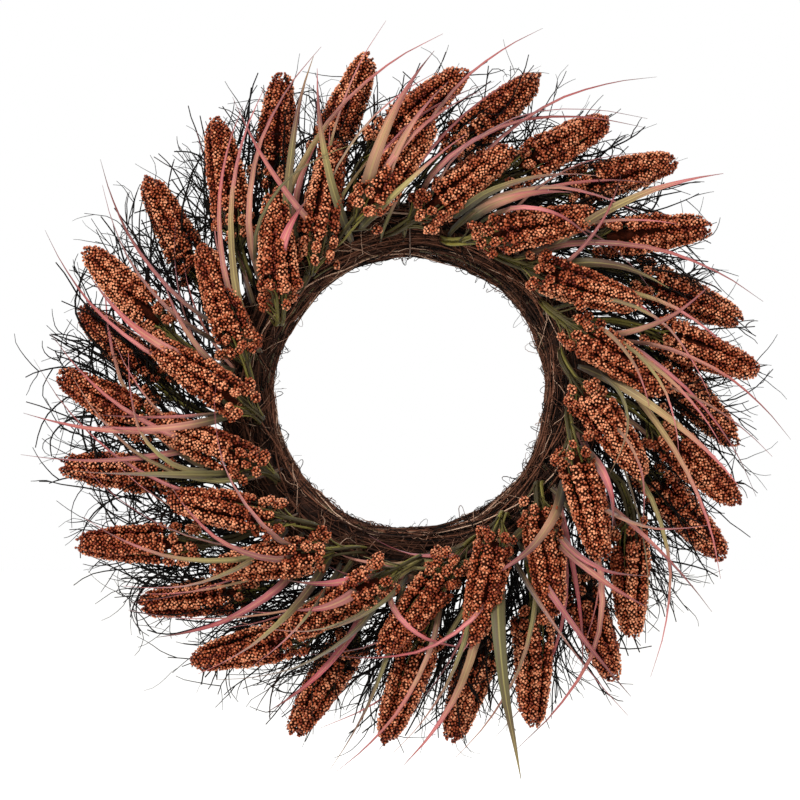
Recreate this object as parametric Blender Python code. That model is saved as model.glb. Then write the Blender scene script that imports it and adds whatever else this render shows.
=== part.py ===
"""Harvest door wreath: a twisted vine ring carrying two rows of sorghum seed heads.

Frame: +Z up, metres. The wreath faces -Y and hangs against a door at its back (+Y).
The origin is where a hook bears on the wire hanging loop, inside the top of the loop.
Depths along Y are measured from the back plane forwards; clock angles run clockwise
from 12 o'clock as seen from the front.
"""
import math

import bmesh
import bpy
from mathutils import Vector

MM = 0.001
BACKWARDS = Vector((0, 1, 0))   # from the front of the wreath to the door

# ---- driving dimensions -------------------------------------------------------------
OPENING_RADIUS = 115 * MM       # clear hole through the middle of the ring
BUNDLE_COUNT = 4                # bundles of vine laid up like a rope
BUNDLE_RADIUS = 9.4 * MM        # one bundle
BUNDLE_GAP = 1.6 * MM           # between neighbouring bundles
LAY_TURNS = 3                   # full twists of the rope around the ring
BACK_FLAT = 4.0 * MM            # how far the back of the ring is pressed flat
HOOP_WIRE_RADIUS = 2.0 * MM     # steel hoop in the heart of the rope

HEAD_LENGTH = 100 * MM          # seed head without its stem
HEAD_RADIUS = 17.5 * MM         # over the ribs at the widest place
HEAD_RIBS = 5
RIB_DEPTH = 2.4 * MM            # valley between two ribs
STEM_RADIUS = 1.6 * MM

TWIG_RADIUS = 1.1 * MM          # at the root of a twig
TWIG_LENGTH = 150 * MM
TWIGS_PER_SPRAY = 13
BLADE_WIDTH = 6.5 * MM
BLADE_THICKNESS = 1.0 * MM
BLADE_RISE = 9 * MM             # how far the grass arches in front of the seed heads
BLADE_DROOP = 22 * MM           # how far its tips fall back again
SPINE_RADIUS = 1.3 * MM         # wire that a spray of twigs or grass is bound to

LOOP_WIRE_RADIUS = 1.2 * MM
LOOP_HEIGHT = 18 * MM           # inside the loop, from the hinge bar to the hook
LOOP_BASE_WIDTH = 23 * MM       # wire centre to wire centre
LOOP_TOP_WIDTH = 9 * MM
LOOP_CORNER = 3.6 * MM
TIE_WIRE_RADIUS = 0.8 * MM

# ---- clearances ---------------------------------------------------------------------
TOUCH_GAP = 0.4 * MM            # between pieces that touch on the real wreath
EYE_GAP = 0.4 * MM              # loop bar in the eye of its tie
LAYER_GAP = 0.8 * MM            # between one layer of foliage and the next

# ---- sizes that follow --------------------------------------------------------------
BUNDLE_OFFSET = (BUNDLE_RADIUS + BUNDLE_GAP / 2) / math.sin(math.pi / BUNDLE_COUNT)
TUBE_RADIUS = BUNDLE_OFFSET + BUNDLE_RADIUS
RING_RADIUS = OPENING_RADIUS + TUBE_RADIUS

EYE_RADIUS = LOOP_WIRE_RADIUS + EYE_GAP + TIE_WIRE_RADIUS
EYE_REACH = EYE_RADIUS + TIE_WIRE_RADIUS
BACK_Y = EYE_REACH + TOUCH_GAP
RING_Y = BACK_Y + BACK_FLAT - TUBE_RADIUS

HINGE_Z = -(LOOP_HEIGHT + LOOP_WIRE_RADIUS)
HINGE_OUT = math.sqrt((TUBE_RADIUS + TOUCH_GAP + EYE_REACH) ** 2 - RING_Y ** 2)
RING_Z = HINGE_Z - RING_RADIUS - HINGE_OUT

# Layers from the back forwards: twigs, two levels of outer heads, two of inner heads, grass.
OUTER_STAGGER = 1.2 * HEAD_RADIUS
INNER_STAGGER = 0.6 * HEAD_RADIUS
TWIG_Y = BACK_Y - LAYER_GAP - TWIG_RADIUS
OUTER_BACK_Y = TWIG_Y - TWIG_RADIUS - LAYER_GAP - HEAD_RADIUS
OUTER_FRONT_Y = OUTER_BACK_Y - OUTER_STAGGER
INNER_TIP_Y = OUTER_FRONT_Y - 2 * HEAD_RADIUS - LAYER_GAP
INNER_BASE_Y = RING_Y - TUBE_RADIUS - HEAD_RADIUS - 4 * LAYER_GAP
INNER_FRONT_Y = INNER_TIP_Y - INNER_STAGGER - HEAD_RADIUS
GRASS_Y = INNER_FRONT_Y - BLADE_RISE

# ---- layout, chosen by hand ---------------------------------------------------------
# Each head: clock angle of its base (degrees), base distance out from the ring's centre
# circle (mm), and lean clockwise from straight outwards (degrees).
OUTER_HEADS = [
    (339, 70, 45), (352, 70, 57), (9, 68, 41), (24, 62, 37), (37, 76, 38),
    (50, 62, 34), (62, 74, 51), (75, 68, 36), (82, 70, 54), (97, 66, 36),
    (108, 70, 30), (120, 76, 60), (137, 64, 23), (150, 71, 31), (162, 72, 36),
    (176, 62, 25), (193, 70, 18), (203, 82, 54), (218, 74, 45), (235, 82, 35),
    (250, 70, 26), (261, 72, 38), (271, 68, 42), (284, 70, 31), (298, 62, 35),
    (312, 58, 38), (325, 68, 41),
]
INNER_HEADS = [
    (324, -2, 46), (344, 15, 54), (2, 8, 52), (24, 2, 55), (43, 5, 66),
    (67, 6, 58), (86, 0, 58), (107, 4, 60), (129, 0, 44), (147, -4, 46),
    (165, 6, 54), (186, 13, 54), (207, 11, 55), (225, 11, 56), (243, 2, 51),
    (264, -4, 41), (282, 4, 58), (303, -10, 54),
]
# Each spray of grass: clock angles where it starts and ends on the ring.
GRASS_SPRAYS = [(6, 78), (94, 166), (186, 258), (276, 348)]
# Each blade of a spray: place along the spray (0 to 1), tip distance out from the ring's
# centre circle (mm), and sweep (degrees of clock passed from root to tip).
GRASS_BLADES = [(0.0, 161, 46), (0.25, 184, 30), (0.5, 166, 42), (0.75, 179, 34), (1.0, 169, 40)]
# Each spray of twigs: clock angles where it starts and ends; the loop needs the top free.
TWIG_SPRAYS = [(9, 84), (96, 174), (186, 264), (276, 348)]

# Head outline from base to tip: share of the length, share of the radius.
HEAD_OUTLINE = [(0.0, 0.50), (0.14, 0.90), (0.40, 1.00), (0.74, 0.86), (0.93, 0.62), (1.0, 0.34)]
GOLDEN_TURN = math.radians(137.5)
TWIG_LEAN = 34                  # degrees, clockwise from straight outwards
TWIG_BEND = 18                  # degrees, at the middle of a twig
GRASS_SECTION = 152             # degrees round the rope, from its outer side to its front

COLOURS = {
    "seed_rust": ((0.30, 0.085, 0.035), 0.55, 0.0),
    "vine_bark": ((0.055, 0.032, 0.022), 0.85, 0.0),
    "twig_dark": ((0.020, 0.013, 0.011), 0.80, 0.0),
    "grass_blade": ((0.33, 0.17, 0.10), 0.60, 0.0),
    "steel_wire": ((0.30, 0.29, 0.28), 0.45, 1.0),
    "brown_wire": ((0.09, 0.055, 0.035), 0.60, 0.0),
}


# ---- helpers ------------------------------------------------------------------------
def polar(clock, radius, y):
    """Point at a clock angle (degrees) and distance from the ring's centre."""
    angle = math.radians(clock)
    return Vector((radius * math.sin(angle), y, RING_Z + radius * math.cos(angle)))


def ring_skin(clock, section, off):
    """Point off the skin of the rope; section 0 faces outwards, 90 faces the front."""
    angle = math.radians(section)
    reach = TUBE_RADIUS + off
    return polar(clock, RING_RADIUS + reach * math.cos(angle), RING_Y - reach * math.sin(angle))


def heading(clock):
    """Unit direction in the wreath's plane, clockwise from straight up (degrees)."""
    angle = math.radians(clock)
    return Vector((math.sin(angle), 0, math.cos(angle)))


def bezier(points, steps):
    """Points along a cubic curve with four control points."""
    a, b, c, d = points
    path = []
    for i in range(steps + 1):
        t = i / steps
        s = 1 - t
        path.append(s ** 3 * a + 3 * s * s * t * b + 3 * s * t * t * c + t ** 3 * d)
    return path


def directions(path, closed):
    """Unit direction at each point of a path."""
    count = len(path)
    result = []
    for i in range(count):
        if closed:
            step = path[(i + 1) % count] - path[i - 1]
        else:
            step = path[min(i + 1, count - 1)] - path[max(i - 1, 0)]
        result.append(step.normalized())
    return result


def add_rings(mesh, path, radii, sides, up, closed):
    """Rings of vertices around a path; up is a vector, or one vector for each point."""
    rings = []
    ways = directions(path, closed)
    for i, (point, way) in enumerate(zip(path, ways)):
        guide = up[i] if isinstance(up, list) else up
        across = way.cross(guide).normalized()
        over = across.cross(way)
        width, height = radii[i]
        ring = []
        for k in range(sides):
            turn = 2 * math.pi * (k + 0.5) / sides
            spot = point + across * (width * math.cos(turn)) + over * (height * math.sin(turn))
            ring.append(mesh.verts.new(spot))
        rings.append(ring)
    return rings


def skin_between(mesh, low, high):
    """Faces between two rings of equal count."""
    count = len(low)
    faces = []
    for k in range(count):
        corners = (low[k], low[(k + 1) % count], high[(k + 1) % count], high[k])
        faces.append(mesh.faces.new(corners))
    return faces


def skin_tube(mesh, rings, closed=False, cap_start=True):
    """Faces along a tube, band by band; a tube that isn't closed gets flat ends."""
    bands = [skin_between(mesh, low, high) for low, high in zip(rings, rings[1:])]
    if closed:
        bands.append(skin_between(mesh, rings[-1], rings[0]))
        return bands
    if cap_start:
        mesh.faces.new(list(reversed(rings[0])))
    mesh.faces.new(rings[-1])
    return bands


def join_open_rims(mesh):
    """Bridge the two open rims that are left in a mesh."""
    rims = [edge for edge in mesh.edges if edge.is_boundary]
    bmesh.ops.bridge_loops(mesh, edges=rims)


def material(name):
    """The named material, made on first use."""
    found = bpy.data.materials.get(name)
    if found:
        return found
    colour, roughness, metallic = COLOURS[name]
    made = bpy.data.materials.new(name)
    made.use_nodes = True
    shader = made.node_tree.nodes["Principled BSDF"]
    shader.inputs["Base Color"].default_value = (*colour, 1.0)
    shader.inputs["Roughness"].default_value = roughness
    shader.inputs["Metallic"].default_value = metallic
    made.diffuse_color = (*colour, 1.0)
    return made


def finish(name, mesh, finish_name, origin=Vector((0, 0, 0)), smooth=40):
    """Turn a bmesh in world places into an object whose origin is at the given point."""
    bmesh.ops.recalc_face_normals(mesh, faces=mesh.faces)
    bmesh.ops.translate(mesh, verts=mesh.verts, vec=-origin)
    data = bpy.data.meshes.new(name)
    mesh.to_mesh(data)
    mesh.free()
    data.shade_smooth()
    data.set_sharp_from_angle(angle=math.radians(smooth))
    data.materials.append(material(finish_name))
    piece = bpy.data.objects.new(name, data)
    piece.location = origin
    bpy.context.scene.collection.objects.link(piece)
    return piece


# ---- ring ---------------------------------------------------------------------------
def vine_bundle(number):
    """One bundle of vine, twisted round the heart of the rope and pressed flat behind."""
    segments = 54
    path = []
    for i in range(segments):
        clock = 360 * i / segments
        twist = 2 * math.pi * (LAY_TURNS * i / segments + number / BUNDLE_COUNT)
        out = BUNDLE_OFFSET * math.cos(twist)
        path.append(polar(clock, RING_RADIUS + out, RING_Y - BUNDLE_OFFSET * math.sin(twist)))
    mesh = bmesh.new()
    radii = [(BUNDLE_RADIUS, BUNDLE_RADIUS)] * segments
    rings = add_rings(mesh, path, radii, 8, BACKWARDS, True)
    skin_tube(mesh, rings, closed=True)
    for vert in mesh.verts:
        vert.co.y = min(vert.co.y, BACK_Y)
    finish(f"vine_bundle_{number + 1}", mesh, "vine_bark", smooth=60)


def wire_hoop():
    """Steel hoop that holds the rope round."""
    segments = 40
    path = [polar(360 * i / segments, RING_RADIUS, RING_Y) for i in range(segments)]
    mesh = bmesh.new()
    radii = [(HOOP_WIRE_RADIUS, HOOP_WIRE_RADIUS)] * segments
    rings = add_rings(mesh, path, radii, 6, BACKWARDS, True)
    skin_tube(mesh, rings, closed=True)
    finish("wire_hoop", mesh, "steel_wire")


# ---- seed heads ---------------------------------------------------------------------
def seed_head(name, base, way, turn, root, root_normal):
    """A ribbed seed head on its bent stem, as one piece."""
    side = way.cross(Vector((0, 1, 0))).normalized()
    over = side.cross(way)
    mesh = bmesh.new()
    rings = []
    corners = 2 * HEAD_RIBS
    for share, girth in HEAD_OUTLINE:
        ring = []
        for k in range(corners):
            radius = HEAD_RADIUS * girth
            if k % 2:
                radius -= RIB_DEPTH * girth
            angle = turn + 2 * math.pi * k / corners
            spot = side * (radius * math.cos(angle)) + over * (radius * math.sin(angle))
            ring.append(mesh.verts.new(base + way * (HEAD_LENGTH * share) + spot))
        rings.append(ring)
    for low, high in zip(rings, rings[1:]):
        skin_between(mesh, low, high)
    mesh.faces.new(rings[-1])

    neck = base - way * (HEAD_RADIUS * 0.3)
    bend = root + root_normal * (HEAD_RADIUS * 0.8)
    path = bezier([neck, neck - way * (HEAD_RADIUS * 0.9), bend, root], 3)
    girths = [(STEM_RADIUS, STEM_RADIUS)] * len(path)
    stem = add_rings(mesh, path, girths, HEAD_RIBS, over, False)
    skin_tube(mesh, stem, cap_start=False)
    join_open_rims(mesh)
    finish(name, mesh, "seed_rust", smooth=50)


def outer_head(index, clock, out, lean):
    """Outer heads alternate between two levels, so that neighbours never meet."""
    y = OUTER_FRONT_Y if index % 2 else OUTER_BACK_Y
    base = polar(clock, RING_RADIUS + out * MM, y)
    way = heading(clock + lean)
    root_clock = clock - 7
    section = 38 if index % 2 else 12
    root = ring_skin(root_clock, section, TOUCH_GAP)
    normal = (root - polar(root_clock, RING_RADIUS, RING_Y)).normalized()
    seed_head(f"sorghum_head_outer_{index + 1:02d}", base, way, index * GOLDEN_TURN, root, normal)


def inner_head(index, clock, out, lean):
    """Inner heads stand on the front of the ring and lie over the feet of the outer ones."""
    level = INNER_STAGGER if index % 2 else 0.0
    base = polar(clock, RING_RADIUS + out * MM, INNER_BASE_Y - level)
    rise = (INNER_TIP_Y - INNER_BASE_Y) / HEAD_LENGTH
    way = heading(clock + lean) * math.sqrt(1 - rise * rise) + BACKWARDS * rise
    root_clock = clock - 6
    root = ring_skin(root_clock, 90 - out, TOUCH_GAP)
    normal = (root - polar(root_clock, RING_RADIUS, RING_Y)).normalized()
    seed_head(f"sorghum_head_inner_{index + 1:02d}", base, way, index * GOLDEN_TURN, root, normal)


# ---- twigs and grass ----------------------------------------------------------------
def grow(mesh, face, path, sizes, up):
    """Draw a tapering limb out of one four-sided face, along a path, to a blunt tip."""
    bmesh.ops.delete(mesh, geom=[face], context="FACES_ONLY")
    rings = add_rings(mesh, path, sizes, 4, up, False)
    skin_tube(mesh, rings, cap_start=False)
    join_open_rims(mesh)


def spine(mesh, start, end, section, segments):
    """Binding wire along the ring that a spray grows from: its points and its faces."""
    path = []
    for i in range(segments + 1):
        clock = start + (end - start) * i / segments
        path.append(ring_skin(clock, section, SPINE_RADIUS + TOUCH_GAP))
    radii = [(SPINE_RADIUS, SPINE_RADIUS)] * len(path)
    rings = add_rings(mesh, path, radii, 4, BACKWARDS, False)
    return path, skin_tube(mesh, rings)


def facing(band, middle, toward):
    """The face of one band of a tube that looks most nearly one way."""
    return max(band, key=lambda face: (face.calc_center_median() - middle).dot(toward))


def smooth_path(spots, parts):
    """Points on one smooth curve through all the spots, some parts to each stretch."""
    path = []
    last = len(spots) - 1
    for i in range(last):
        before, here = spots[max(i - 1, 0)], spots[i]
        there, after = spots[i + 1], spots[min(i + 2, last)]
        pull = [here, here + (there - before) / 6, there - (after - here) / 6, there]
        path += bezier(pull, parts)[:-1]
    return path + [spots[last]]


def twig_spray(number, start, end):
    """Dark twigs behind the heads, fanned clockwise from one binding wire."""
    mesh = bmesh.new()
    reach = TUBE_RADIUS + SPINE_RADIUS + TOUCH_GAP
    section = -math.degrees(math.asin((TWIG_Y - RING_Y) / reach))
    segments = 2 * TWIGS_PER_SPRAY
    path, bands = spine(mesh, start, end, section, segments)
    for k in range(TWIGS_PER_SPRAY):
        index = 2 * k
        middle = (path[index] + path[index + 1]) / 2
        clock = start + (end - start) * (index + 0.5) / segments
        outward = heading(clock)
        length = TWIG_LENGTH * (0.82 + 0.18 * math.sin(k * GOLDEN_TURN))
        foot = middle + outward * (2.5 * SPINE_RADIUS)
        knee = foot + heading(clock + TWIG_LEAN) * (length / 2)
        tip = knee + heading(clock + TWIG_LEAN + TWIG_BEND) * (length / 2)
        sizes = [(TWIG_RADIUS * taper, TWIG_RADIUS * taper) for taper in (1.0, 0.8, 0.45)]
        face = facing(bands[index], middle, outward)
        grow(mesh, face, [foot, knee, tip], sizes, BACKWARDS)
    finish(f"twig_spray_{number + 1}", mesh, "twig_dark")


def grass_blade(mesh, band, middle, clock, reach, sweep):
    """One blade: up from the binding wire, over the seed heads, and down at its tip."""
    foot = math.hypot(middle.x, middle.z - RING_Z)
    span = reach - foot
    # Each spot: share of the sweep, distance from the ring's centre, depth, share of width.
    spots = [
        (0.00, foot, middle.y - 3 * SPINE_RADIUS, 0.34),
        (0.02, foot + 0.01 * span, INNER_BASE_Y, 0.5),
        (0.16, foot + 0.20 * span, GRASS_Y + 2 * MM, 1.0),
        (0.50, foot + 0.58 * span, GRASS_Y, 1.0),
        (1.00, reach, GRASS_Y + BLADE_DROOP, 0.2),
    ]
    line = smooth_path([polar(clock + share * sweep, far, y) for share, far, y, _ in spots], 2)
    shares = [spot[3] for spot in spots]
    widths = []
    for low, high in zip(shares, shares[1:]):
        widths += [low, (low + high) / 2]
    widths.append(shares[-1])
    sizes = [(BLADE_WIDTH / 2 * w, BLADE_THICKNESS / 2 * (0.6 + 0.4 * w)) for w in widths]
    guides = []
    for way in directions(line, False):
        level = Vector((way.x, 0, way.z))
        if level.length < 0.5:
            level = heading(clock)
        guides.append(level.normalized().cross(BACKWARDS).cross(way))
    grow(mesh, facing(band, middle, -BACKWARDS), line, sizes, guides)


def grass_spray(number, start, end):
    """Blades of grass from the ring's inner front, arching over the seed heads."""
    mesh = bmesh.new()
    segments = 16
    path, bands = spine(mesh, start, end, GRASS_SECTION, segments)
    for place, out, sweep in GRASS_BLADES:
        index = min(int(place * segments), segments - 1)
        middle = (path[index] + path[index + 1]) / 2
        clock = start + (end - start) * (index + 0.5) / segments
        grass_blade(mesh, bands[index], middle, clock, RING_RADIUS + out * MM, sweep)
    finish(f"grass_spray_{number + 1}", mesh, "grass_blade")


# ---- hanger -------------------------------------------------------------------------
def rounded(corners, radius, steps):
    """Closed outline with every corner rounded; corners are (x, z) pairs in order."""
    outline = []
    count = len(corners)
    for i in range(count):
        corner = Vector(corners[i])
        to_last = (Vector(corners[i - 1]) - corner).normalized()
        to_next = (Vector(corners[(i + 1) % count]) - corner).normalized()
        half = to_last.angle(to_next) / 2
        centre = corner + (to_last + to_next).normalized() * (radius / math.sin(half))
        first = corner + to_last * (radius / math.tan(half)) - centre
        last = corner + to_next * (radius / math.tan(half)) - centre
        for k in range(steps + 1):
            share = k / steps
            spoke = (first * (1 - share) + last * share).normalized() * radius
            outline.append(centre + spoke)
    return outline


def hanging_loop():
    """Wire loop that hangs over the hook and turns on its straight bottom bar."""
    top = LOOP_WIRE_RADIUS
    half_base = LOOP_BASE_WIDTH / 2
    half_top = LOOP_TOP_WIDTH / 2
    corners = [(-half_base, HINGE_Z), (half_base, HINGE_Z), (half_top, top), (-half_top, top)]
    path = [Vector((x, 0, z)) for x, z in rounded(corners, LOOP_CORNER, 4)]
    mesh = bmesh.new()
    radii = [(LOOP_WIRE_RADIUS, LOOP_WIRE_RADIUS)] * len(path)
    rings = add_rings(mesh, path, radii, 8, BACKWARDS, True)
    skin_tube(mesh, rings, closed=True)
    finish("hanging_loop", mesh, "steel_wire", origin=Vector((0, 0, HINGE_Z)))


def hanger_tie():
    """Wire bound once round the rope and once round the loop's bar, in a figure of eight."""
    spread = TIE_WIRE_RADIUS + TOUCH_GAP / 2
    big = TUBE_RADIUS + TOUCH_GAP + TIE_WIRE_RADIUS
    centre = Vector((0, RING_Y, RING_Z + RING_RADIUS))
    hinge = Vector((0, 0, HINGE_Z))
    toward = (hinge - centre).normalized()
    start = math.atan2(toward.y, toward.z)
    back = BACK_Y + TOUCH_GAP + TIE_WIRE_RADIUS
    path = []
    big_steps, small_steps = 26, 12
    for i in range(big_steps):
        share = i / big_steps
        angle = start + 2 * math.pi * share
        spot = centre + Vector((0, math.sin(angle), math.cos(angle))) * big
        path.append(Vector((spread * (1 - 2 * share), min(spot.y, back), spot.z)))
    for i in range(small_steps):
        share = i / small_steps
        angle = start + math.pi - 2 * math.pi * share
        spot = hinge + Vector((0, math.sin(angle), math.cos(angle))) * EYE_RADIUS
        path.append(Vector((spread * (2 * share - 1), spot.y, spot.z)))
    mesh = bmesh.new()
    radii = [(TIE_WIRE_RADIUS, TIE_WIRE_RADIUS)] * len(path)
    rings = add_rings(mesh, path, radii, 6, Vector((1, 0, 0)), True)
    skin_tube(mesh, rings, closed=True)
    finish("hanger_tie", mesh, "brown_wire")


# ---- assembly -----------------------------------------------------------------------
def clear_scene():
    """Start from an empty scene."""
    for piece in list(bpy.data.objects):
        bpy.data.objects.remove(piece, do_unlink=True)


def main():
    """Build every piece of the wreath."""
    clear_scene()
    wire_hoop()
    for number in range(BUNDLE_COUNT):
        vine_bundle(number)
    for index, (clock, out, lean) in enumerate(OUTER_HEADS):
        outer_head(index, clock, out, lean)
    for index, (clock, out, lean) in enumerate(INNER_HEADS):
        inner_head(index, clock, out, lean)
    for number, (start, end) in enumerate(TWIG_SPRAYS):
        twig_spray(number, start, end)
    for number, (start, end) in enumerate(GRASS_SPRAYS):
        grass_spray(number, start, end)
    hanging_loop()
    hanger_tie()


main()
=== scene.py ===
"""Harvest door wreath: the look of every piece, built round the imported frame.

Lengths are in metres. +Z is up, the front of the wreath looks along -Y, and a clock angle is in
degrees, clockwise from the top as seen from the front. "Out" is a distance from the centre circle
of the vine ring, positive away from the opening.
"""

import math
from collections import namedtuple

import bmesh
import bpy
import numpy as np
from bpy.props import FloatProperty, FloatVectorProperty, IntProperty, PointerProperty
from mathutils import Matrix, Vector


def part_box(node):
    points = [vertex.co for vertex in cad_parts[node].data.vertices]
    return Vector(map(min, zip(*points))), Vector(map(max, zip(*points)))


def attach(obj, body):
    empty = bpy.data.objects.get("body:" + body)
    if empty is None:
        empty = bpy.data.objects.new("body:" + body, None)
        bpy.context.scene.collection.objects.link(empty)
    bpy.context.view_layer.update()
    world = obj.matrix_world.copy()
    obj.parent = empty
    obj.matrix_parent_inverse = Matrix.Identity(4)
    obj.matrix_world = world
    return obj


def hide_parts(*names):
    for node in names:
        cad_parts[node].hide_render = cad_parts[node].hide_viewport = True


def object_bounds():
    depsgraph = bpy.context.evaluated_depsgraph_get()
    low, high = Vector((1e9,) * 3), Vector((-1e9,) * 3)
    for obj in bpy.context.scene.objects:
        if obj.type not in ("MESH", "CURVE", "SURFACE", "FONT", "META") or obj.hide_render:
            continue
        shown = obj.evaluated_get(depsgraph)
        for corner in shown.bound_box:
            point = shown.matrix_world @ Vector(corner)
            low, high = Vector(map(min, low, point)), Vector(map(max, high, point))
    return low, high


bl_info = {
    "name": "Harvest door wreath",
    "version": (1, 0, 0),
    "blender": (4, 5, 0),
    "location": "3D View > Sidebar > Wreath",
    "description": "Builds a vine ring wreath of sorghum seed heads, dark twigs and grass",
    "category": "Object",
}

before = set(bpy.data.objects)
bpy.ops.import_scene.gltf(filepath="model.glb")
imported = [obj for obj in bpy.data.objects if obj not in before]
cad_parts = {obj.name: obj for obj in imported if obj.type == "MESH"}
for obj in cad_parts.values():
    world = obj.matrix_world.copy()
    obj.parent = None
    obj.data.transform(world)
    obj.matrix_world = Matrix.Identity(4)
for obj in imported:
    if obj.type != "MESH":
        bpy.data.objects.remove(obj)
CAD_BOX = [list(corner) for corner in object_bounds()]

MM = 0.001
FRONT = np.array((0.0, -1.0, 0.0))
GOLDEN_ANGLE = math.pi * (3 - math.sqrt(5))

# ---- the ring, as the frame holds it ------------------------------------------------------------
_low, _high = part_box("wire_hoop")
HOOP_WIRE = (_high.y - _low.y) / 2
CENTRE = np.array((_low + _high) / 2)
RING_RADIUS = (_high.x - _low.x) / 2 - HOOP_WIRE
BUNDLES = [f"vine_bundle_{k}" for k in range(1, 5)]
TUBE_RADIUS = max(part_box(name)[1].x for name in BUNDLES) - CENTRE[0] - RING_RADIUS
BACK_Y = max(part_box(name)[1].y for name in BUNDLES)
HEADS = sorted(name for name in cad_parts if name.startswith("sorghum_head"))
LOOP_ROOM = [np.array(corner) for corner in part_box("hanging_loop")]

# ---- numbers that several pieces share ----------------------------------------------------------
QUARTERS = 4
LOOP_MARGIN = 14 * MM       # kept free round the hanging loop
BINDING_WIRE = 1.1 * MM     # radius of the wires that hold the twigs and the grass
STALK_REACH = 46 * MM       # most that a head's stalks run straight back
ROOT_DEPTH = 8 * MM         # how deep the stalks' roots lie in the ring
# First seed of each group's own random numbers.
RING_SEED, TWIG_SEED, GRASS_SEED, HEAD_SEED = 60, 300, 500, 1000


# ---- sizes and colours that a user would change -------------------------------------------------
def length(name, text, default, low=0.0, high=1.0):
    """A length property in metres."""
    return FloatProperty(
        name=name, description=text, default=default, min=low, max=high,
        subtype="DISTANCE", unit="LENGTH", precision=4,
    )


def share(name, text, default):
    """A property between none and all."""
    return FloatProperty(
        name=name, description=text, default=default, min=0, max=1, subtype="FACTOR")


def count(name, text, default, low=1, high=5000):
    """A whole number of pieces."""
    return IntProperty(name=name, description=text, default=default, min=low, max=high)


def colour(name, text, red, green, blue):
    """A colour property, from display values of 0 to 255."""
    return FloatVectorProperty(
        name=name, description=text, default=linear(red, green, blue), size=3, min=0, max=1,
        subtype="COLOR",
    )


def linear(red, green, blue):
    """Scene-linear colour of display values from 0 to 255."""
    out = []
    for value in (red, green, blue):
        value /= 255
        out.append(value / 12.92 if value <= 0.04045 else ((value + 0.055) / 1.055) ** 2.4)
    return tuple(out)


class SeedHeadSettings(bpy.types.PropertyGroup):
    """Sizes and colours of the sorghum seed heads."""

    head: length("Head", "Length of one seed head without its stalks", 100 * MM)
    bead: length("Bead", "Diameter of one seed bead", 2.45 * MM, 0.001, 0.01)
    fingers: count("Fingers", "Fingers of beads round one head", 7, 3, 9)
    finger: length("Finger", "Radius of a finger over its beads", 4.9 * MM, 0.001, 0.02)
    clusters: count("Clusters", "Loose bead clusters at the foot of a head", 4, 0, 30)
    cluster: length("Cluster", "Radius of a loose cluster, to the middle of its beads", 3.6 * MM)
    spread: length("Spread", "How far a loose cluster stands from the head's axis", 21 * MM)
    stalk: length("Stalk", "Radius of one green stalk", 1.15 * MM)
    pale: colour("Pale bead", "Lightest beads", 222, 148, 108)
    rust: colour("Rust bead", "Usual bead", 152, 72, 38)
    # The deep colour is the darkest beads' own colour, and it is also the painted shade in the
    # grooves and under each bead.
    deep: colour("Deep bead", "Darkest beads, low in the grooves", 84, 19, 4)
    # The pith's colour is near black: partly the pith's own dark colour, partly painted shade for the
    # gaps between the fingers.
    heart: colour("Heart", "Pith between the fingers", 48, 16, 6)
    green: colour("Green stalk", "Fresh side of a stalk", 118, 110, 44)
    olive: colour("Olive stalk", "Shaded side of a stalk", 54, 45, 20)


class RingSettings(bpy.types.PropertyGroup):
    """Sizes and colours of the vine ring."""

    long_strands: count("Long strands", "Strands that run far round the ring", 440)
    short_strands: count("Short strands", "Strands that cross the long ones", 1300)
    burrs: count("Burrs", "Loose ends and loops that stand off the ring", 1400)
    strand: length("Strand", "Radius of a strand", 0.55 * MM, 0.0001, 0.01)
    dark: colour("Dark bark", "Shaded bark", 9, 6, 5)
    brown: colour("Brown bark", "Usual bark", 82, 51, 37)
    light: colour("Pale fibre", "Peeled, weathered fibre", 190, 157, 133)


class TwigSettings(bpy.types.PropertyGroup):
    """Sizes and colours of the dark twigs."""

    twigs: count("Twigs", "Twigs in the fringe", 2000)
    radius: length("Root radius", "Radius of a twig at its root", 1.0 * MM, 0.0001, 0.01)
    reach: length("Reach", "Usual length of a twig", 140 * MM)
    black: colour("Black bark", "Darkest bark", 5, 4, 4)
    brown: colour("Brown bark", "Lightest bark", 40, 26, 20)


class GrassSettings(bpy.types.PropertyGroup):
    """Sizes and colours of the grass."""

    loose: count("Loose blades", "Blades besides the ones placed by hand", 60)
    width: length("Width", "Width of a blade at its widest", 6.9 * MM, 0.001, 0.03)
    thickness: length("Thickness", "Thickness of a blade", 0.3 * MM, 0.0001, 0.003)
    olive: colour("Olive", "Root of a blade", 78, 74, 32)
    khaki: colour("Khaki", "Middle of a blade", 146, 134, 76)
    pink: colour("Pink", "Upper half of a blade", 192, 106, 108)
    rose: colour("Rose", "Redder blades", 156, 54, 64)
    maroon: colour("Maroon", "Deepest blades", 88, 32, 38)


class WireSettings(bpy.types.PropertyGroup):
    """Finishes of the wires."""

    steel: colour("Steel", "Bare galvanised wire", 158, 154, 148)
    brown: colour("Brown", "Coated binding wire", 84, 60, 44)


class StageSettings(bpy.types.PropertyGroup):
    """Floor, light and camera."""

    floor_drop: length("Floor drop", "Floor below the lowest leaf", 0.16, 0.0, 3.0)
    distance: length("Distance", "Camera to the middle of the wreath", 4.0, 0.5, 20.0)
    view_width: length("View width", "Width of the view at the wreath", 0.680, 0.1, 5.0)
    sky: share("Sky", "Strength of the white surroundings", 1.0)
    floor: colour("Floor", "Pale floor", 244, 243, 241)


# ---- shapes modelled once, then copied ----------------------------------------------------------
class Shape:
    """Points and triangles of a small shape."""

    def __init__(self, points, faces):
        self.points, self.faces = points, faces


def clear_selection():
    """Nothing is selected, so that an operator acts only on what comes next."""
    bpy.ops.object.select_all(action="DESELECT")


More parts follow.
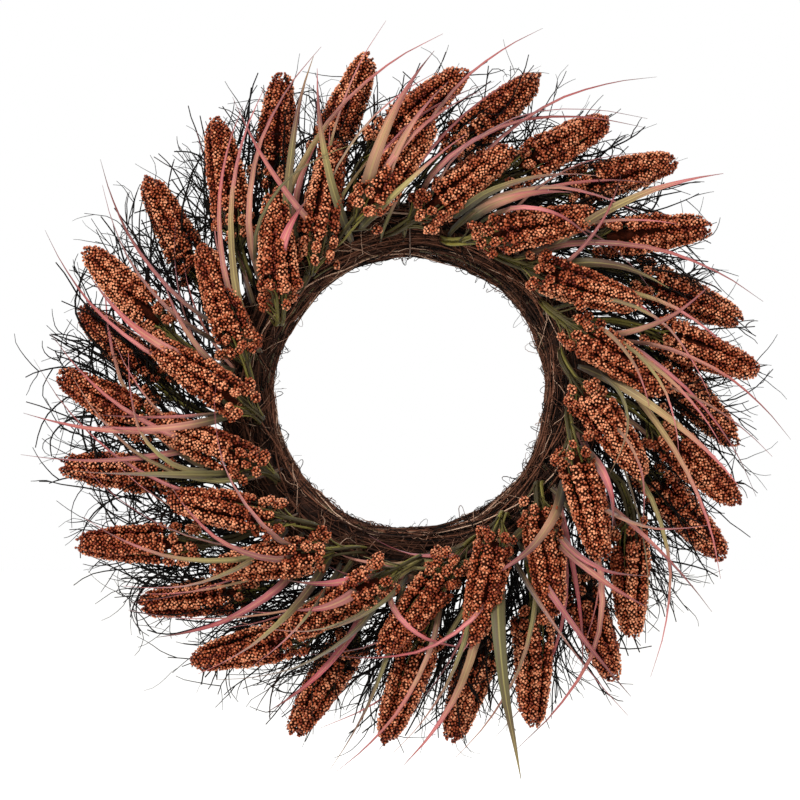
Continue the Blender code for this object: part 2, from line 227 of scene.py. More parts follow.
def take_shape():
    """The active object's points and triangles; the object itself is then removed."""
    bpy.ops.object.mode_set(mode="EDIT")
    bpy.ops.mesh.select_all(action="SELECT")
    bpy.ops.mesh.quads_convert_to_tris()
    bpy.ops.mesh.normals_make_consistent(inside=False)
    bpy.ops.object.mode_set(mode="OBJECT")
    made = bpy.context.active_object
    points = np.array([vert.co for vert in made.data.vertices])
    faces = np.array([list(face.vertices) for face in made.data.polygons])
    bpy.data.objects.remove(made)
    return Shape(points, in_order(faces))


def in_order(faces):
    """The same triangles, always listed in the same order, each from its lowest point on."""
    faces = np.array([np.roll(face, -face.argmin()) for face in faces])
    return faces[np.lexsort(faces.T[::-1])]


def select_by(test):
    """In edit mode, selects only the vertices whose place passes the test."""
    made = bpy.context.active_object
    mesh = bmesh.from_edit_mesh(made.data)
    for vert in mesh.verts:
        vert.select_set(bool(test(vert.co)))
    mesh.select_flush_mode()
    bmesh.update_edit_mesh(made.data)


def seed_bead():
    """One seed: a small ball, drawn out to a blunt point and flattened where it sits."""
    clear_selection()
    bpy.ops.mesh.primitive_ico_sphere_add(subdivisions=1, radius=1)
    bpy.ops.object.mode_set(mode="EDIT")
    bpy.ops.mesh.select_mode(type="VERT")
    bpy.ops.transform.resize(value=(0.94, 0.94, 1.06))
    select_by(lambda spot: spot.z > 0.9)
    bpy.ops.transform.translate(value=(0, 0, 0.10))
    select_by(lambda spot: spot.z < -0.9)
    bpy.ops.transform.translate(value=(0, 0, 0.22))
    bpy.ops.object.mode_set(mode="OBJECT")
    return take_shape()


def plain_bead():
    """A seed with fewer faces, for the side that lies against the door."""
    clear_selection()
    bpy.ops.mesh.primitive_uv_sphere_add(segments=4, ring_count=2, radius=1.12)
    bpy.ops.object.mode_set(mode="EDIT")
    bpy.ops.mesh.select_mode(type="VERT")
    select_by(lambda spot: spot.z < -0.9)
    bpy.ops.transform.translate(value=(0, 0, 0.25))
    bpy.ops.object.mode_set(mode="OBJECT")
    return take_shape()


def round_limb(sides, parts):
    """A rod of unit radius and unit length along Z, drawn out part by part from a disc."""
    clear_selection()
    bpy.ops.mesh.primitive_circle_add(vertices=sides, radius=1, fill_type="NGON")
    bpy.ops.object.mode_set(mode="EDIT")
    bpy.ops.mesh.select_mode(type="FACE")
    bpy.ops.mesh.select_all(action="SELECT")
    for _ in range(parts):
        bpy.ops.mesh.extrude_region_move(TRANSFORM_OT_translate={"value": (0, 0, 1 / parts)})
    bpy.ops.object.mode_set(mode="OBJECT")
    return take_shape()


def leaf_blade(parts):
    """A flat blade of unit length along Z and unit half width, creased down its middle."""
    clear_selection()
    bpy.ops.mesh.primitive_plane_add(size=2)
    bpy.ops.object.mode_set(mode="EDIT")
    bpy.ops.mesh.select_mode(type="VERT")
    bpy.ops.transform.resize(value=(1, 0, 1))
    bpy.ops.mesh.select_all(action="SELECT")
    bpy.ops.mesh.remove_doubles(threshold=0.001)
    bpy.ops.mesh.subdivide(number_cuts=1)
    select_by(lambda spot: abs(spot.x) < 0.5)
    bpy.ops.transform.translate(value=(0, -0.22, 0))
    bpy.ops.mesh.select_all(action="SELECT")
    for _ in range(parts):
        bpy.ops.mesh.extrude_edges_move(TRANSFORM_OT_translate={"value": (0, 0, 1 / parts)})
    bpy.ops.object.mode_set(mode="OBJECT")
    made = bpy.context.active_object
    wall = made.modifiers.new("Thickness", "SOLIDIFY")
    wall.thickness, wall.offset = 0.1, 0
    bpy.ops.object.modifier_apply(modifier=wall.name)
    return take_shape()


# ---- paths --------------------------------------------------------------------------------------
def unit(vectors):
    """Vectors of length one."""
    size = np.linalg.norm(vectors, axis=-1, keepdims=True)
    return vectors / np.maximum(size, 1e-12)


def clock_way(clock):
    """Direction away from the ring's centre at a clock angle."""
    angle = np.radians(clock)
    return np.stack([np.sin(angle), np.zeros_like(angle), np.cos(angle)], axis=-1)


def spot_at(clock, out, y):
    """Point at a clock angle, a distance out from the ring's centre circle, and a depth."""
    clock, out, y = np.broadcast_arrays(
        np.asarray(clock, float), np.asarray(out, float), np.asarray(y, float))
    spot = CENTRE + clock_way(clock) * (RING_RADIUS + out)[..., None]
    spot[..., 1] = y
    return spot


def smooth_line(spots, steps):
    """A smooth curve through all the spots, with that many steps to each stretch."""
    spots = np.asarray(spots, float)
    ends = np.vstack([2 * spots[0] - spots[1], spots, 2 * spots[-1] - spots[-2]])
    share_ = np.linspace(0, 1, steps, endpoint=False)[:, None]
    parts = []
    for a, b, c, d in zip(ends, ends[1:], ends[2:], ends[3:]):
        parts.append(0.5 * (2 * b + (c - a) * share_ + (2 * a - 5 * b + 4 * c - d) * share_**2
                            + (3 * b - a - 3 * c + d) * share_**3))
    return np.vstack(parts + [spots[-1:]])


def bend(shape, line, wide, thick, up):
    """Points of a straight shape laid along a line. Wide and thick are sizes along the line,
    and up is the way that the shape's Y side looks."""
    place = shape.points[:, 2]
    marks = np.linspace(0, 1, len(line))
    ahead = unit(np.gradient(line, axis=0))
    side = unit(np.cross(np.broadcast_to(up, line.shape), ahead))
    over = np.cross(ahead, side)
    wide = np.interp(place, np.linspace(0, 1, len(np.atleast_1d(wide))), np.atleast_1d(wide))
    thick = np.interp(place, np.linspace(0, 1, len(np.atleast_1d(thick))), np.atleast_1d(thick))

    def along(values):
        return np.stack([np.interp(place, marks, values[:, k]) for k in range(3)], axis=1)

    return (along(line) + along(side) * (shape.points[:, 0] * wide)[:, None]
            + along(over) * (shape.points[:, 1] * thick)[:, None])


# ---- gathering copies into one piece ------------------------------------------------------------
class Heap:
    """Copies of small shapes, gathered into one mesh. Each point keeps a tone, its place from
    root to tip, and its place across."""

    def __init__(self):
        self.points, self.faces, self.marks, self.slots = [], [], [], []
        self.total = 0

    def add(self, points, faces, slot=0, tone=0.5, along=0.5, across=0.5):
        """Adds one mesh, whose marks are numbers or one value to each point."""
        points = np.asarray(points, float)
        marks = np.empty((len(points), 3))
        marks[:, 0], marks[:, 1], marks[:, 2] = tone, along, across
        self.points.append(points)
        self.faces.append(np.asarray(faces) + self.total)
        self.marks.append(marks)
        self.slots.append(np.full(len(faces), slot))
        self.total += len(points)

    def add_limb(self, shape, line, radius, slot=0, tone=0.5, up=FRONT):
        """Adds a rod laid along a line; radius is one size, or several from root to tip."""
        self.add(bend(shape, line, radius, radius, up), shape.faces, slot, tone,
                 shape.points[:, 2], 0.5 + 0.5 * shape.points[:, 0])

    def add_copies(self, shape, spots, ways, sizes, tones, slot=0):
        """Adds copies of a shape, each with its Z side along its own way."""
        turn = unit(np.cross(ways, np.roll(ways, 1, axis=1) + np.array((0.3, 0.2, 0.1))))
        other = np.cross(ways, turn)
        local = shape.points[None] * sizes[:, None, None]
        points = (spots[:, None] + local[..., :1] * turn[:, None] + local[..., 1:2] * other[:, None]
                  + local[..., 2:] * ways[:, None])
        steps = np.arange(len(spots))[:, None, None] * len(shape.points)
        height = shape.points[:, 2] - shape.points[:, 2].min()
        self.add(points.reshape(-1, 3), (shape.faces[None] + steps).reshape(-1, 3), slot,
                 np.repeat(tones, len(shape.points)), np.tile(height / height.max(), len(spots)))

    def make(self, name, body, slot, finishes, replaces=()):
        """The piece itself, riding on its body and standing for its CAD nodes."""
        points, faces = np.vstack(self.points), np.vstack(self.faces)
        mesh = bpy.data.meshes.new(name)
        mesh.vertices.add(len(points))
        mesh.vertices.foreach_set("co", points.astype(np.float32).ravel())
        mesh.loops.add(faces.size)
        mesh.loops.foreach_set("vertex_index", faces.astype(np.int32).ravel())
        mesh.polygons.add(len(faces))
        mesh.polygons.foreach_set("loop_start", np.arange(0, faces.size, 3, dtype=np.int32))
        mesh.polygons.foreach_set("material_index", np.concatenate(self.slots).astype(np.int32))
        mesh.update(calc_edges=True)
        mesh.shade_smooth()
        marks = np.vstack(self.marks)
        for k, mark in enumerate(("tone", "along", "across")):
            attribute = mesh.attributes.new(mark, "FLOAT", "POINT")
            attribute.data.foreach_set("value", marks[:, k].astype(np.float32))
        made = bpy.data.objects.new(name, mesh)
        bpy.context.scene.collection.objects.link(made)
        for finish in finishes:
            mesh.materials.append(finish)
        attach(made, body)
        if replaces:
            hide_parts(*replaces)
        return made


# ---- finishes -----------------------------------------------------------------------------------
class Finish:
    """A procedural material round one Principled shader."""

    def __init__(self, name, roughness, specular=0.5, metallic=0.0, sheen=0.0):
        self.material = bpy.data.materials.new(name)
        self.material.use_nodes = True
        self.tree = self.material.node_tree
        self.shader = self.tree.nodes["Principled BSDF"]
        for socket, value in (("Roughness", roughness), ("Specular IOR Level", specular),
                              ("Metallic", metallic), ("Sheen Weight", sheen)):
            self.shader.inputs[socket].default_value = value

    def feed(self, socket, value):
        """Gives a socket a value, or another node's socket."""
        if isinstance(value, bpy.types.NodeSocket):
            self.tree.links.new(value, socket)
        else:
            socket.default_value = value

    def node(self, kind, settings=None, **links):
        """A node with its settings; links go to its inputs by name."""
        made = self.tree.nodes.new(kind)
        for key, value in (settings or {}).items():
            setattr(made, key, value)
        for key, value in links.items():
            self.feed(made.inputs[key], value)
        return made

    def place(self, scale=(1, 1, 1)):
        """The piece's own coordinates, stretched."""
        where = self.node("ShaderNodeTexCoord").outputs["Object"]
        return self.node("ShaderNodeMapping", Vector=where, Scale=scale).outputs["Vector"]

    def mark(self, name):
        """One of the marks that a piece's points keep."""
        settings = {"attribute_name": name, "attribute_type": "GEOMETRY"}
        return self.node("ShaderNodeAttribute", settings).outputs["Fac"]

    def marks(self, stretch=(1, 1, 1)):
        """Coordinates made of the three marks, for a pattern that follows a blade or a strand."""
        where = self.node("ShaderNodeCombineXYZ", X=self.mark("across"), Y=self.mark("along"),
                          Z=self.mark("tone")).outputs["Vector"]
        return self.node("ShaderNodeMapping", Vector=where, Scale=stretch).outputs["Vector"]

    def noise(self, where, scale, detail=2.0, roughness=0.5):
        """Soft noise from 0 to 1."""
        return self.node("ShaderNodeTexNoise", Vector=where, Scale=scale, Detail=detail,
                         Roughness=roughness).outputs["Fac"]

    def math(self, operation, first, second=0.0, third=0.0):
        """A sum on two or three values, held between 0 and 1."""
        made = self.node("ShaderNodeMath", {"operation": operation, "use_clamp": True})
        for socket, value in zip(made.inputs, (first, second, third)):
            self.feed(socket, value)
        return made.outputs["Value"]

    def ramp(self, value, stops):
        """Colours along a value; each stop is a place and a colour."""
        made = self.node("ShaderNodeValToRGB", Fac=value)
        line = made.color_ramp.elements
        while len(line) < len(stops):
            line.new(0.5)
        for element, (place, shade) in zip(line, stops):
            element.position = place
            element.color = (*shade, 1)
        return made.outputs["Color"]

    def mix(self, value, first, shade):
        """A colour socket mixed with a plain shade by a value."""
        made = self.node("ShaderNodeMix", {"data_type": "RGBA"})
        for key, item in ((0, value), (6, first), (7, shade)):
            self.feed(made.inputs[key], (*item, 1) if isinstance(item, tuple) else item)
        return made.outputs[2]

    def set(self, base=None, roughness=None, height=None, depth=0.0, strength=1.0):
        """Links a colour, a roughness and a bump of some depth to the shader."""
        if base is not None:
            self.tree.links.new(base, self.shader.inputs["Base Color"])
        if roughness is not None:
            self.tree.links.new(roughness, self.shader.inputs["Roughness"])
        if height is not None:
            bump = self.node("ShaderNodeBump", Height=height, Distance=depth, Strength=strength)
            self.tree.links.new(bump.outputs["Normal"], self.shader.inputs["Normal"])
        return self.material


def tint(shade, by):
    """A colour made lighter or darker."""
    return tuple(min(1.0, max(0.0, value * by)) for value in shade)


# ---- seed heads ---------------------------------------------------------------------------------
BEADS, PITH, STALKS = range(3)      # material slots of a head
FINGER_STEPS = 60                   # points along a finger's line
GROOVE_STALKS, BEARING_STALKS = 4, 6
THIN_STALK = (0.8 * MM, 0.6 * MM)   # radius of a clump's stalk, at its foot and at the clump
BARE_TURN = 1.95                    # beads sit up to this turn from a finger's outer side, in radians
# Share of the head's length, share of its greatest radius.
HEAD_OUTLINE = ((-0.06, 0.50), (0.12, 0.92), (0.32, 1.02), (0.55, 0.94), (0.76, 0.79),
                (0.93, 0.60), (1.0, 0.46))


class HeadPlace:
    """Where a CAD seed head stands: its foot, tip, axis, radius and the foot of its stem."""

    def __init__(self, node, long):
        points = np.array([vert.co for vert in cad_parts[node].data.vertices])
        tip = points[np.argmax(np.linalg.norm(points - CENTRE, axis=1))]
        head = points[np.linalg.norm(points - tip, axis=1) < long * 1.02]
        middle = head.mean(axis=0)
        way = np.linalg.svd(head - middle, full_matrices=False)[2][0]
        if way @ (middle - CENTRE) < 0:
            way = -way
        heights = (head - middle) @ way
        from_axis = head - middle - heights[:, None] * way
        self.way = way
        self.radius = np.linalg.norm(from_axis, axis=1).max()
        self.length = heights.max() - heights.min()
        self.foot = middle + way * heights.min()
        self.root = self.find_root(points)

    def find_root(self, points):
        """Where the stalks enter the ring: between the spot straight behind the head and the CAD
        stem's foot, and below the bark."""
        stem = points[np.argmin(self.from_ring(points))]
        back = self.foot - self.way * np.linspace(0, STALK_REACH, 40)[:, None]
        near = self.from_ring(back)
        inside = np.flatnonzero(near < TUBE_RADIUS - 3 * MM)
        straight = back[inside[0] if len(inside) else np.argmin(near)]
        root = 0.65 * straight + 0.35 * stem
        flat = (root - CENTRE) * (1, 0, 1)
        heart = CENTRE + flat / np.linalg.norm(flat) * RING_RADIUS
        deep = np.linalg.norm(root - heart)
        return heart + (root - heart) * min(1.0, (TUBE_RADIUS - ROOT_DEPTH) / deep)

    @staticmethod
    def from_ring(points):
        """Distance of points from the ring's centre circle."""
        flat = points - CENTRE
        across = np.hypot(flat[:, 0], flat[:, 2]) - RING_RADIUS
        return np.hypot(across, flat[:, 1])

    def at(self, along, angle, out):
        """Point on the head: share of its length, angle round its axis, distance from it."""
        side = unit(np.cross(self.way, FRONT))
        face = np.cross(side, self.way)
        angle, out = np.asarray(angle), np.asarray(out)
        spoke = np.cos(angle)[..., None] * side + np.sin(angle)[..., None] * face
        along = np.asarray(along, float)[..., None] * self.length
        return self.foot + self.way * along + spoke * out[..., None]


class SeedHeadMaker:
    """Builds seed heads from one bead and two rods."""

    def __init__(self, sizes):
        self.sizes = sizes
        self.bead = seed_bead()
        self.back_bead = plain_bead()
        self.rod = round_limb(6, 8)
        self.thin_rod = round_limb(4, 4)
        self.finishes = [bead_finish(sizes), pith_painted_shade_finish(sizes), stalk_finish(sizes)]

    def outline(self, along, radius):
        """Radius of the head over its beads."""
        places, girths = zip(*HEAD_OUTLINE)
        return np.interp(along, places, girths) * radius

    def cover(self, heap, spots, ways, tones, random):
        """Adds beads at spots, each pointing its own way."""
        number = len(spots)
        behind = ways[:, 1] > 0.0
        ways = unit(ways + random.normal(0, 0.16, (number, 3)))
        sizes = self.sizes.bead / 2 * random.uniform(0.90, 1.12, number)
        tones = np.clip(tones, 0, 1)
        for bead, chosen in ((self.bead, ~behind), (self.back_bead, behind)):
            if chosen.any():
                heap.add_copies(bead, spots[chosen], ways[chosen], sizes[chosen], tones[chosen],
                                slot=BEADS)

    def finger_form(self, place, along, random):
        """Radius of a finger, and its distance from the head's axis, at places along the head."""
        bead, start, stop = self.sizes.bead, along[0], along[-1]
        low = np.clip((0.52 - along) / 0.36, 0, 1)
        swell = np.sin(along * place.length / (random.uniform(4.6, 6.2) * MM) * math.pi
                       + random.uniform(0, 6))
        near_tip = np.clip((along - stop + 0.06) / 0.06, 0, 1)
        near_foot = np.clip((start + 0.05 - along) / 0.05, 0, 1)
        taper = np.interp(along, (0, 0.25, 0.6, 1), (1.06, 1.02, 0.92, 0.72))
        girth = self.sizes.finger * random.uniform(0.93, 1.07) * taper
        girth = girth * (1 + (0.11 + 0.17 * low) * swell) - bead * 0.42
        out = self.outline(along, place.radius) - girth - bead * 0.42
        girth = girth * np.sqrt(1 - 0.75 * near_tip**2 - 0.6 * near_foot**2)
        flare = np.clip((0.36 - along) / 0.36, 0, 1)
        out = out * (1 - 0.28 * near_tip) + flare * 6 * MM * random.uniform(0, 1.2)
        return girth, out

    def bead_spots(self, skin):
        """Where beads sit on a finger: place along its line and turn round it. Skin is the area
        up to each point of the line. The side towards the head's heart is left bare."""
        number = int(skin[-1] / (self.sizes.bead**2 * 0.92))
        spots = (np.arange(number) + 0.5) / number * skin[-1]
        spots = np.interp(spots, skin, np.arange(len(skin)))
        turns = (GOLDEN_ANGLE * np.arange(number) + math.pi) % (2 * math.pi) - math.pi
        kept = np.abs(turns) < BARE_TURN
        return spots[kept], turns[kept]

    def finger(self, heap, place, angle, random):
        """One finger of beads, from its ragged foot to its blunt tip. Gives back where its foot
        is, for the clumps that carry it on."""
        bead = self.sizes.bead
        start, stop = random.uniform(0.14, 0.31), random.uniform(0.92, 1.0)
        along = np.linspace(start, stop, FINGER_STEPS)
        girth, centre_out = self.finger_form(place, along, random)
        drift = angle + 0.07 * np.sin(along * 9 + random.uniform(0, 6)) + 0.15 * (along - 0.5)
        line = place.at(along, drift, centre_out)
        line = line + 0.35 * MM * random.normal(0, 1, 3) * np.sin(along * 21)[:, None]
        ahead = unit(np.gradient(line, axis=0))
        away = line - place.at(along, drift, np.zeros(FINGER_STEPS))
        away = unit(away - (away * ahead).sum(axis=1)[:, None] * ahead)
        skin = np.cumsum(girth) * 2 * math.pi * place.length * (stop - start) / FINGER_STEPS
        spots, turns = self.bead_spots(skin)

        def at(values):
            return np.stack([np.interp(spots, np.arange(FINGER_STEPS), row) for row in values.T], 1)

        out = np.cos(turns)[:, None] * at(away) + np.sin(turns)[:, None] * at(np.cross(ahead, away))
        size = at(girth[:, None])
        jitter = random.normal(0, 0.14, (len(spots), 3)) * bead
        # Painted shade: beads turned away from the finger's outer side, down into the grooves, get a
        # lower tone and so a darker colour.
        tones = 0.60 + random.normal(0, 0.05) - 0.38 * (np.abs(turns) / BARE_TURN) ** 2
        tones = tones + random.normal(0, 0.12, len(spots))
        self.cover(heap, at(line) + out * size + jitter, unit(out + 0.2 * at(ahead)), tones, random)
        cap = line[-1] + ahead[-1] * bead * 0.4
        self.cover(heap, cap[None] + random.normal(0, 0.3, (3, 3)) * bead,
                   np.repeat(ahead[-1:], 3, axis=0), np.full(3, 0.5), random)
        heap.add_limb(self.rod, line, girth - bead * 0.25, slot=PITH, tone=0.35,
                      up=away.mean(axis=0))
        return start, drift[0], centre_out[0]

    def cluster(self, heap, spot, radius, way, random):
        """A loose clump of beads, a little longer than wide and never quite round."""
        number = int(4 * math.pi * radius**2 / (self.sizes.bead**2 * 0.80))
        k = np.arange(number) + 0.5
        height = 1 - 2 * k / number
        turn = GOLDEN_ANGLE * k + random.uniform(0, 6)
        ring = np.sqrt(1 - height**2)
        ball = np.stack([ring * np.cos(turn), ring * np.sin(turn), height], axis=1)
        dent = unit(random.normal(0, 1, 3))
        shape = ball * (1 - 0.36 * np.clip(ball @ dent, 0, 1))[:, None]
        shape = shape + np.outer(shape @ way, way) * 0.35
        spots = spot + shape * radius + random.normal(0, 0.13, (number, 3)) * self.sizes.bead
        self.cover(heap, spots, unit(ball), 0.54 + random.normal(0, 0.13, number), random)
        heap.add_copies(self.bead, np.array([spot]), np.array([way]),
                        np.array([radius * 0.86]), np.array([0.3]), slot=PITH)

    def clumps(self, ends, random):
        """Clumps that carry the fingers on to the head's foot, then loose ones round it. Each is
        its place along the head, its angle, its distance from the axis and its radius."""
        clumps = []
        for start, angle, out in ends:
            along = start - random.uniform(0.075, 0.10)
            out = out + random.uniform(0, 1.5) * MM
            while along > 0.0:
                clumps.append((along, angle + random.normal(0, 0.06), out,
                               self.sizes.cluster * random.uniform(0.78, 1.05)))
                along -= random.uniform(0.09, 0.13)
                out = out * random.uniform(0.88, 1.08)
                if random.uniform() < 0.35:
                    break
        for k in range(self.sizes.clusters):
            along = random.uniform(-0.03, 0.24)
            out = self.sizes.spread * random.uniform(0.60, 0.84 + 0.20 * (1 - along / 0.24))
            clumps.append((along, GOLDEN_ANGLE * k + random.normal(0, 0.4), out,
                           self.sizes.cluster * random.uniform(0.62, 1.1)))
        return clumps

    def foot(self, heap, place, ends, random):
        """The clumps at the head's foot, each on its short stalk."""
        for along, angle, out, radius in self.clumps(ends, random):
            spot = place.at(along, angle, out)
            self.cluster(heap, spot, radius, unit(place.way + 0.4 * random.normal(0, 1, 3)), random)
            start = place.at(along - 0.14, angle, 2.4 * MM)
            knee = place.at(along - 0.06, angle, out * 0.55)
            heap.add_limb(self.thin_rod, smooth_line([start, knee, spot], 4), THIN_STALK,
                          slot=STALKS, tone=random.uniform(0.2, 0.9))

    def stalks(self, heap, place, random):
        """Stalks that show in the grooves, and the bundle that bears the head."""
        for k in range(GROOVE_STALKS):
            along = np.linspace(0.05, random.uniform(0.45, 0.8), 6)
            out = self.outline(along, place.radius) * random.uniform(0.54, 0.66)
            heap.add_limb(self.thin_rod, place.at(along, GOLDEN_ANGLE * k + 0.2 * along, out),
                          (0.8 * MM, 0.5 * MM), slot=STALKS, tone=random.uniform(0.2, 0.8))
        reach = np.linalg.norm(place.root - place.foot)
        control = place.foot - place.way * reach * 0.55
        for k in range(BEARING_STALKS):
            angle = GOLDEN_ANGLE * k + random.normal(0, 0.3)
            top = place.at(random.uniform(0.08, 0.26), angle, 5.0 * MM)
            neck = place.at(-0.03, angle, 3.2 * MM)
            side = (neck - place.at(-0.03, 0, 0.0)) * 0.8
            root = place.root + side * 0.7 + random.normal(0, 0.8 * MM, 3)
            middle = 0.25 * root + 0.5 * (control + side) + 0.25 * neck
            line = smooth_line([root, middle, neck, top], 7)
            size = self.sizes.stalk * random.uniform(0.75, 1.25)
            heap.add_limb(self.rod, line, (size * 0.4, size * 1.2, size, size * 0.9), slot=STALKS,
                          tone=random.uniform(0.05, 0.95))

    def make(self, node):
        """One seed head, which stands for its CAD node."""
        random = np.random.default_rng(HEAD_SEED + HEADS.index(node))
        place = HeadPlace(node, self.sizes.head)
        heap = Heap()
        turn = random.uniform(0, 2 * math.pi)
        ends = []
        for k in range(self.sizes.fingers):
            angle = turn + 2 * math.pi * k / self.sizes.fingers + random.normal(0, 0.05)
            ends.append(self.finger(heap, place, angle, random))
        along = np.linspace(0.12, 0.93, 9)
        heart = self.outline(along, place.radius) * np.linspace(0.12, 1, 9) ** 0.4 * 0.60
        heap.add_limb(self.rod, place.at(along, np.zeros(9), np.zeros(9)), heart, slot=PITH, tone=0.1)
        self.foot(heap, place, ends, random)
        self.stalks(heap, place, random)
        name = node.replace("sorghum_head", "seed_head")
        return heap.make(name, "wreath", "seed_beads", self.finishes, [node])


def bead_finish(sizes):
    """Painted seeds: rust brown, each a little different, with a shine; painted shade darkens them
    where they meet and in the grooves.
    """
    finish = Finish("rust_seed", roughness=0.36, specular=0.18)
    patch = finish.noise(finish.place(), 34, 3)
    value = finish.math("ADD", finish.mark("tone"), finish.math("SUBTRACT", patch, 0.40))
    # Beads whose tone the grooves lowered land at the deep end, so this ramp carries painted shade as
    # well as each bead's own tone.
    base = finish.ramp(value, [
        (0.06, tint(sizes.deep, 0.45)), (0.30, tuple(sizes.deep)), (0.60, tuple(sizes.rust)),
        (0.88, tuple(sizes.pale))])
    speck = finish.noise(finish.place(), 900, 2)
    base = finish.mix(finish.math("MULTIPLY", speck, 0.30), base, tint(sizes.deep, 0.8))
    # Painted shade: each bead is darkened towards its foot, where it sits among the others.
    low = finish.math("MULTIPLY_ADD", finish.mark("along"), -2.1, 1.48)
    base = finish.mix(low, base, tint(sizes.deep, 0.30))
    shine = finish.math("MULTIPLY_ADD", speck, 0.30, 0.22)
    return finish.set(base, shine, finish.noise(finish.place(), 1300, 2), 0.25 * MM, 0.5)


def pith_painted_shade_finish(sizes):
    """Pith between the beads, coloured near black: partly its own dark colour, partly painted shade
    for the gaps between the fingers.
    """
    finish = Finish("seed_pith_painted_shade", roughness=0.95, specular=0.05)
    fleck = finish.noise(finish.place(), 420, 3)
    base = finish.ramp(fleck, [(0.3, tint(sizes.heart, 0.4)), (0.6, tuple(sizes.heart)),
                               (0.8, tint(sizes.deep, 0.5))])
    return finish.set(base, None, fleck, 0.4 * MM)


def stalk_finish(sizes):
    """Green stalks with fine lines along them."""
    finish = Finish("green_stalk", roughness=0.55, specular=0.25)
    lines = finish.noise(finish.marks((9, 1.5, 7)), 3, 3)
    value = finish.math("ADD", finish.math("MULTIPLY", lines, 0.8), finish.math(
        "MULTIPLY_ADD", finish.mark("tone"), 0.5, -0.15))
    base = finish.ramp(value, [(0.25, tint(sizes.olive, 0.6)), (0.5, tuple(sizes.olive)),
                               (0.8, tuple(sizes.green)), (1.0, tint(sizes.green, 1.35))])
    return finish.set(base, None, lines, 0.3 * MM)


# ---- vine ring ----------------------------------------------------------------------------------
def ring_spot(clock, section, off):
    """Point round the rope of the ring: clock angle, angle round the rope from its outer side
    towards the front, and distance from its heart. The back is pressed flat, and the strands lie
    low where the hanging loop swings."""
    angle = np.radians(section)
    from_top = np.abs((np.asarray(clock, float) + 180) % 360 - 180)
    low = np.clip((10 - from_top) / 3, 0, 1) * np.clip((np.cos(angle + 0.7) - 0.1) / 0.3, 0, 1)
    off = np.minimum(off, TUBE_RADIUS + (22 - 24 * low) * MM)
    y = CENTRE[1] - off * np.sin(angle)
    return spot_at(clock, off * np.cos(angle), np.minimum(y, BACK_Y))


def wander(random, number, size, waves=3):
    """A smooth random drift along a line."""
    place = np.linspace(0, 1, number)
    out = np.zeros(number)
    for k in range(1, waves + 1):
        out += random.normal(0, size / k) * np.sin(2 * np.pi * (k * place + random.uniform(0, 1)))
    return out


def lumps(clock, section):
    """Uneven thickness of the ring, in metres."""
    turn, angle = np.radians(clock), np.radians(section)
    return (np.sin(5 * turn + 2 * angle) + np.sin(9 * turn - angle + 1) * 0.7
            + np.sin(17 * turn + 3 * angle + 2) * 0.6) * 1.0 * MM


# How a kind of strand lies on the ring. Angles are in degrees and lengths in mm. Run is how far
# it goes round, lay is how it winds round the rope, sway and ripple are its drift along and off
# the bark, depth is its spread below the surface at rise, most is the highest it stands, and
# the last field darkens it the deeper it lies: painted shade in the ring's recesses.
StrandKind = namedtuple(
    "StrandKind", "steps run lay sway depth rise ripple most girth taper tone fade")
LONG_STRAND = StrandKind(
    steps=40, run=(50, 170), lay=0.55, sway=9, depth=(1.5, 1.7), rise=0.8, ripple=1.0, most=3.0,
    girth=(0.55, 1.5), taper=(0.4, 1, 1.1, 1, 1.05, 0.9, 0.35), tone=(1.1, 1.9), fade=(1.1, 6))
SHORT_STRAND = StrandKind(
    steps=16, run=(6, 26), lay=4.5, sway=10, depth=(1.2, 1.0), rise=1.6, ripple=1.1, most=3.6,
    girth=(0.35, 0.9), taper=(0.5, 1, 1, 0.4), tone=(0.8, 1.1), fade=(1.15, 4))
CORE_RADIUS = 9.0 * MM      # of the dark core under each bundle's strands
CORE_DEPTH = 10.4 * MM      # of that core's line below the ring's surface


def add_strand(heap, rod, kind, radius, random):
    """One strand wound round the ring: the deeper it lies, the darker it is, as painted shade."""
    start, run = random.uniform(0, 360), random.uniform(*kind.run)
    clock = start + np.linspace(0, run, kind.steps)
    lay = random.normal(0, kind.lay)
    section = random.uniform(0, 360) + lay * (clock - start) + wander(random, kind.steps, kind.sway)
    deep = random.gamma(*kind.depth)
    off = TUBE_RADIUS + (kind.rise - deep) * MM + wander(random, kind.steps, kind.ripple * MM)
    off = off + lumps(clock, section)
    radius = radius * random.uniform(*kind.girth)
    line = ring_spot(clock, section, np.minimum(off, TUBE_RADIUS + kind.most * MM))
    bright, dim = kind.fade
    # Painted shade: the deeper a strand lies below the bark, the lower its tone and the darker its
    # colour.
    tone = random.beta(*kind.tone) * max(0.1, bright - deep / dim)
    heap.add_limb(rod, line, radius * np.array(kind.taper), tone=tone)


def add_burr(heap, rod, radius, random):
    """One loose end that stands off the ring, or a loop that goes back to it."""
    clock, section = random.uniform(0, 360), random.uniform(0, 360)
    rise = random.gamma(1.6, 2.0) * MM
    sweep, turn = random.uniform(-1, 1) * 6, random.normal(0, 20)
    back = random.choice((-1.5 * MM, rise * 0.6, rise * 1.3), p=(0.6, 0.2, 0.2))
    clocks = clock + sweep * np.array([0, 0.45, 0.9, 1.1, 0.8])
    sections = section + turn * np.array([0, 0.2, 0.7, 1.3, 1.7])
    offs = TUBE_RADIUS + np.array([-1.5 * MM, rise * 0.7, rise, rise * 0.8, back])
    line = ring_spot(clocks, sections, np.minimum(offs, TUBE_RADIUS + 16 * MM))
    radius = radius * random.uniform(0.35, 0.75)
    heap.add_limb(rod, smooth_line(line, 4), (radius, radius, radius * 0.5),
                  tone=random.beta(0.8, 3.5))


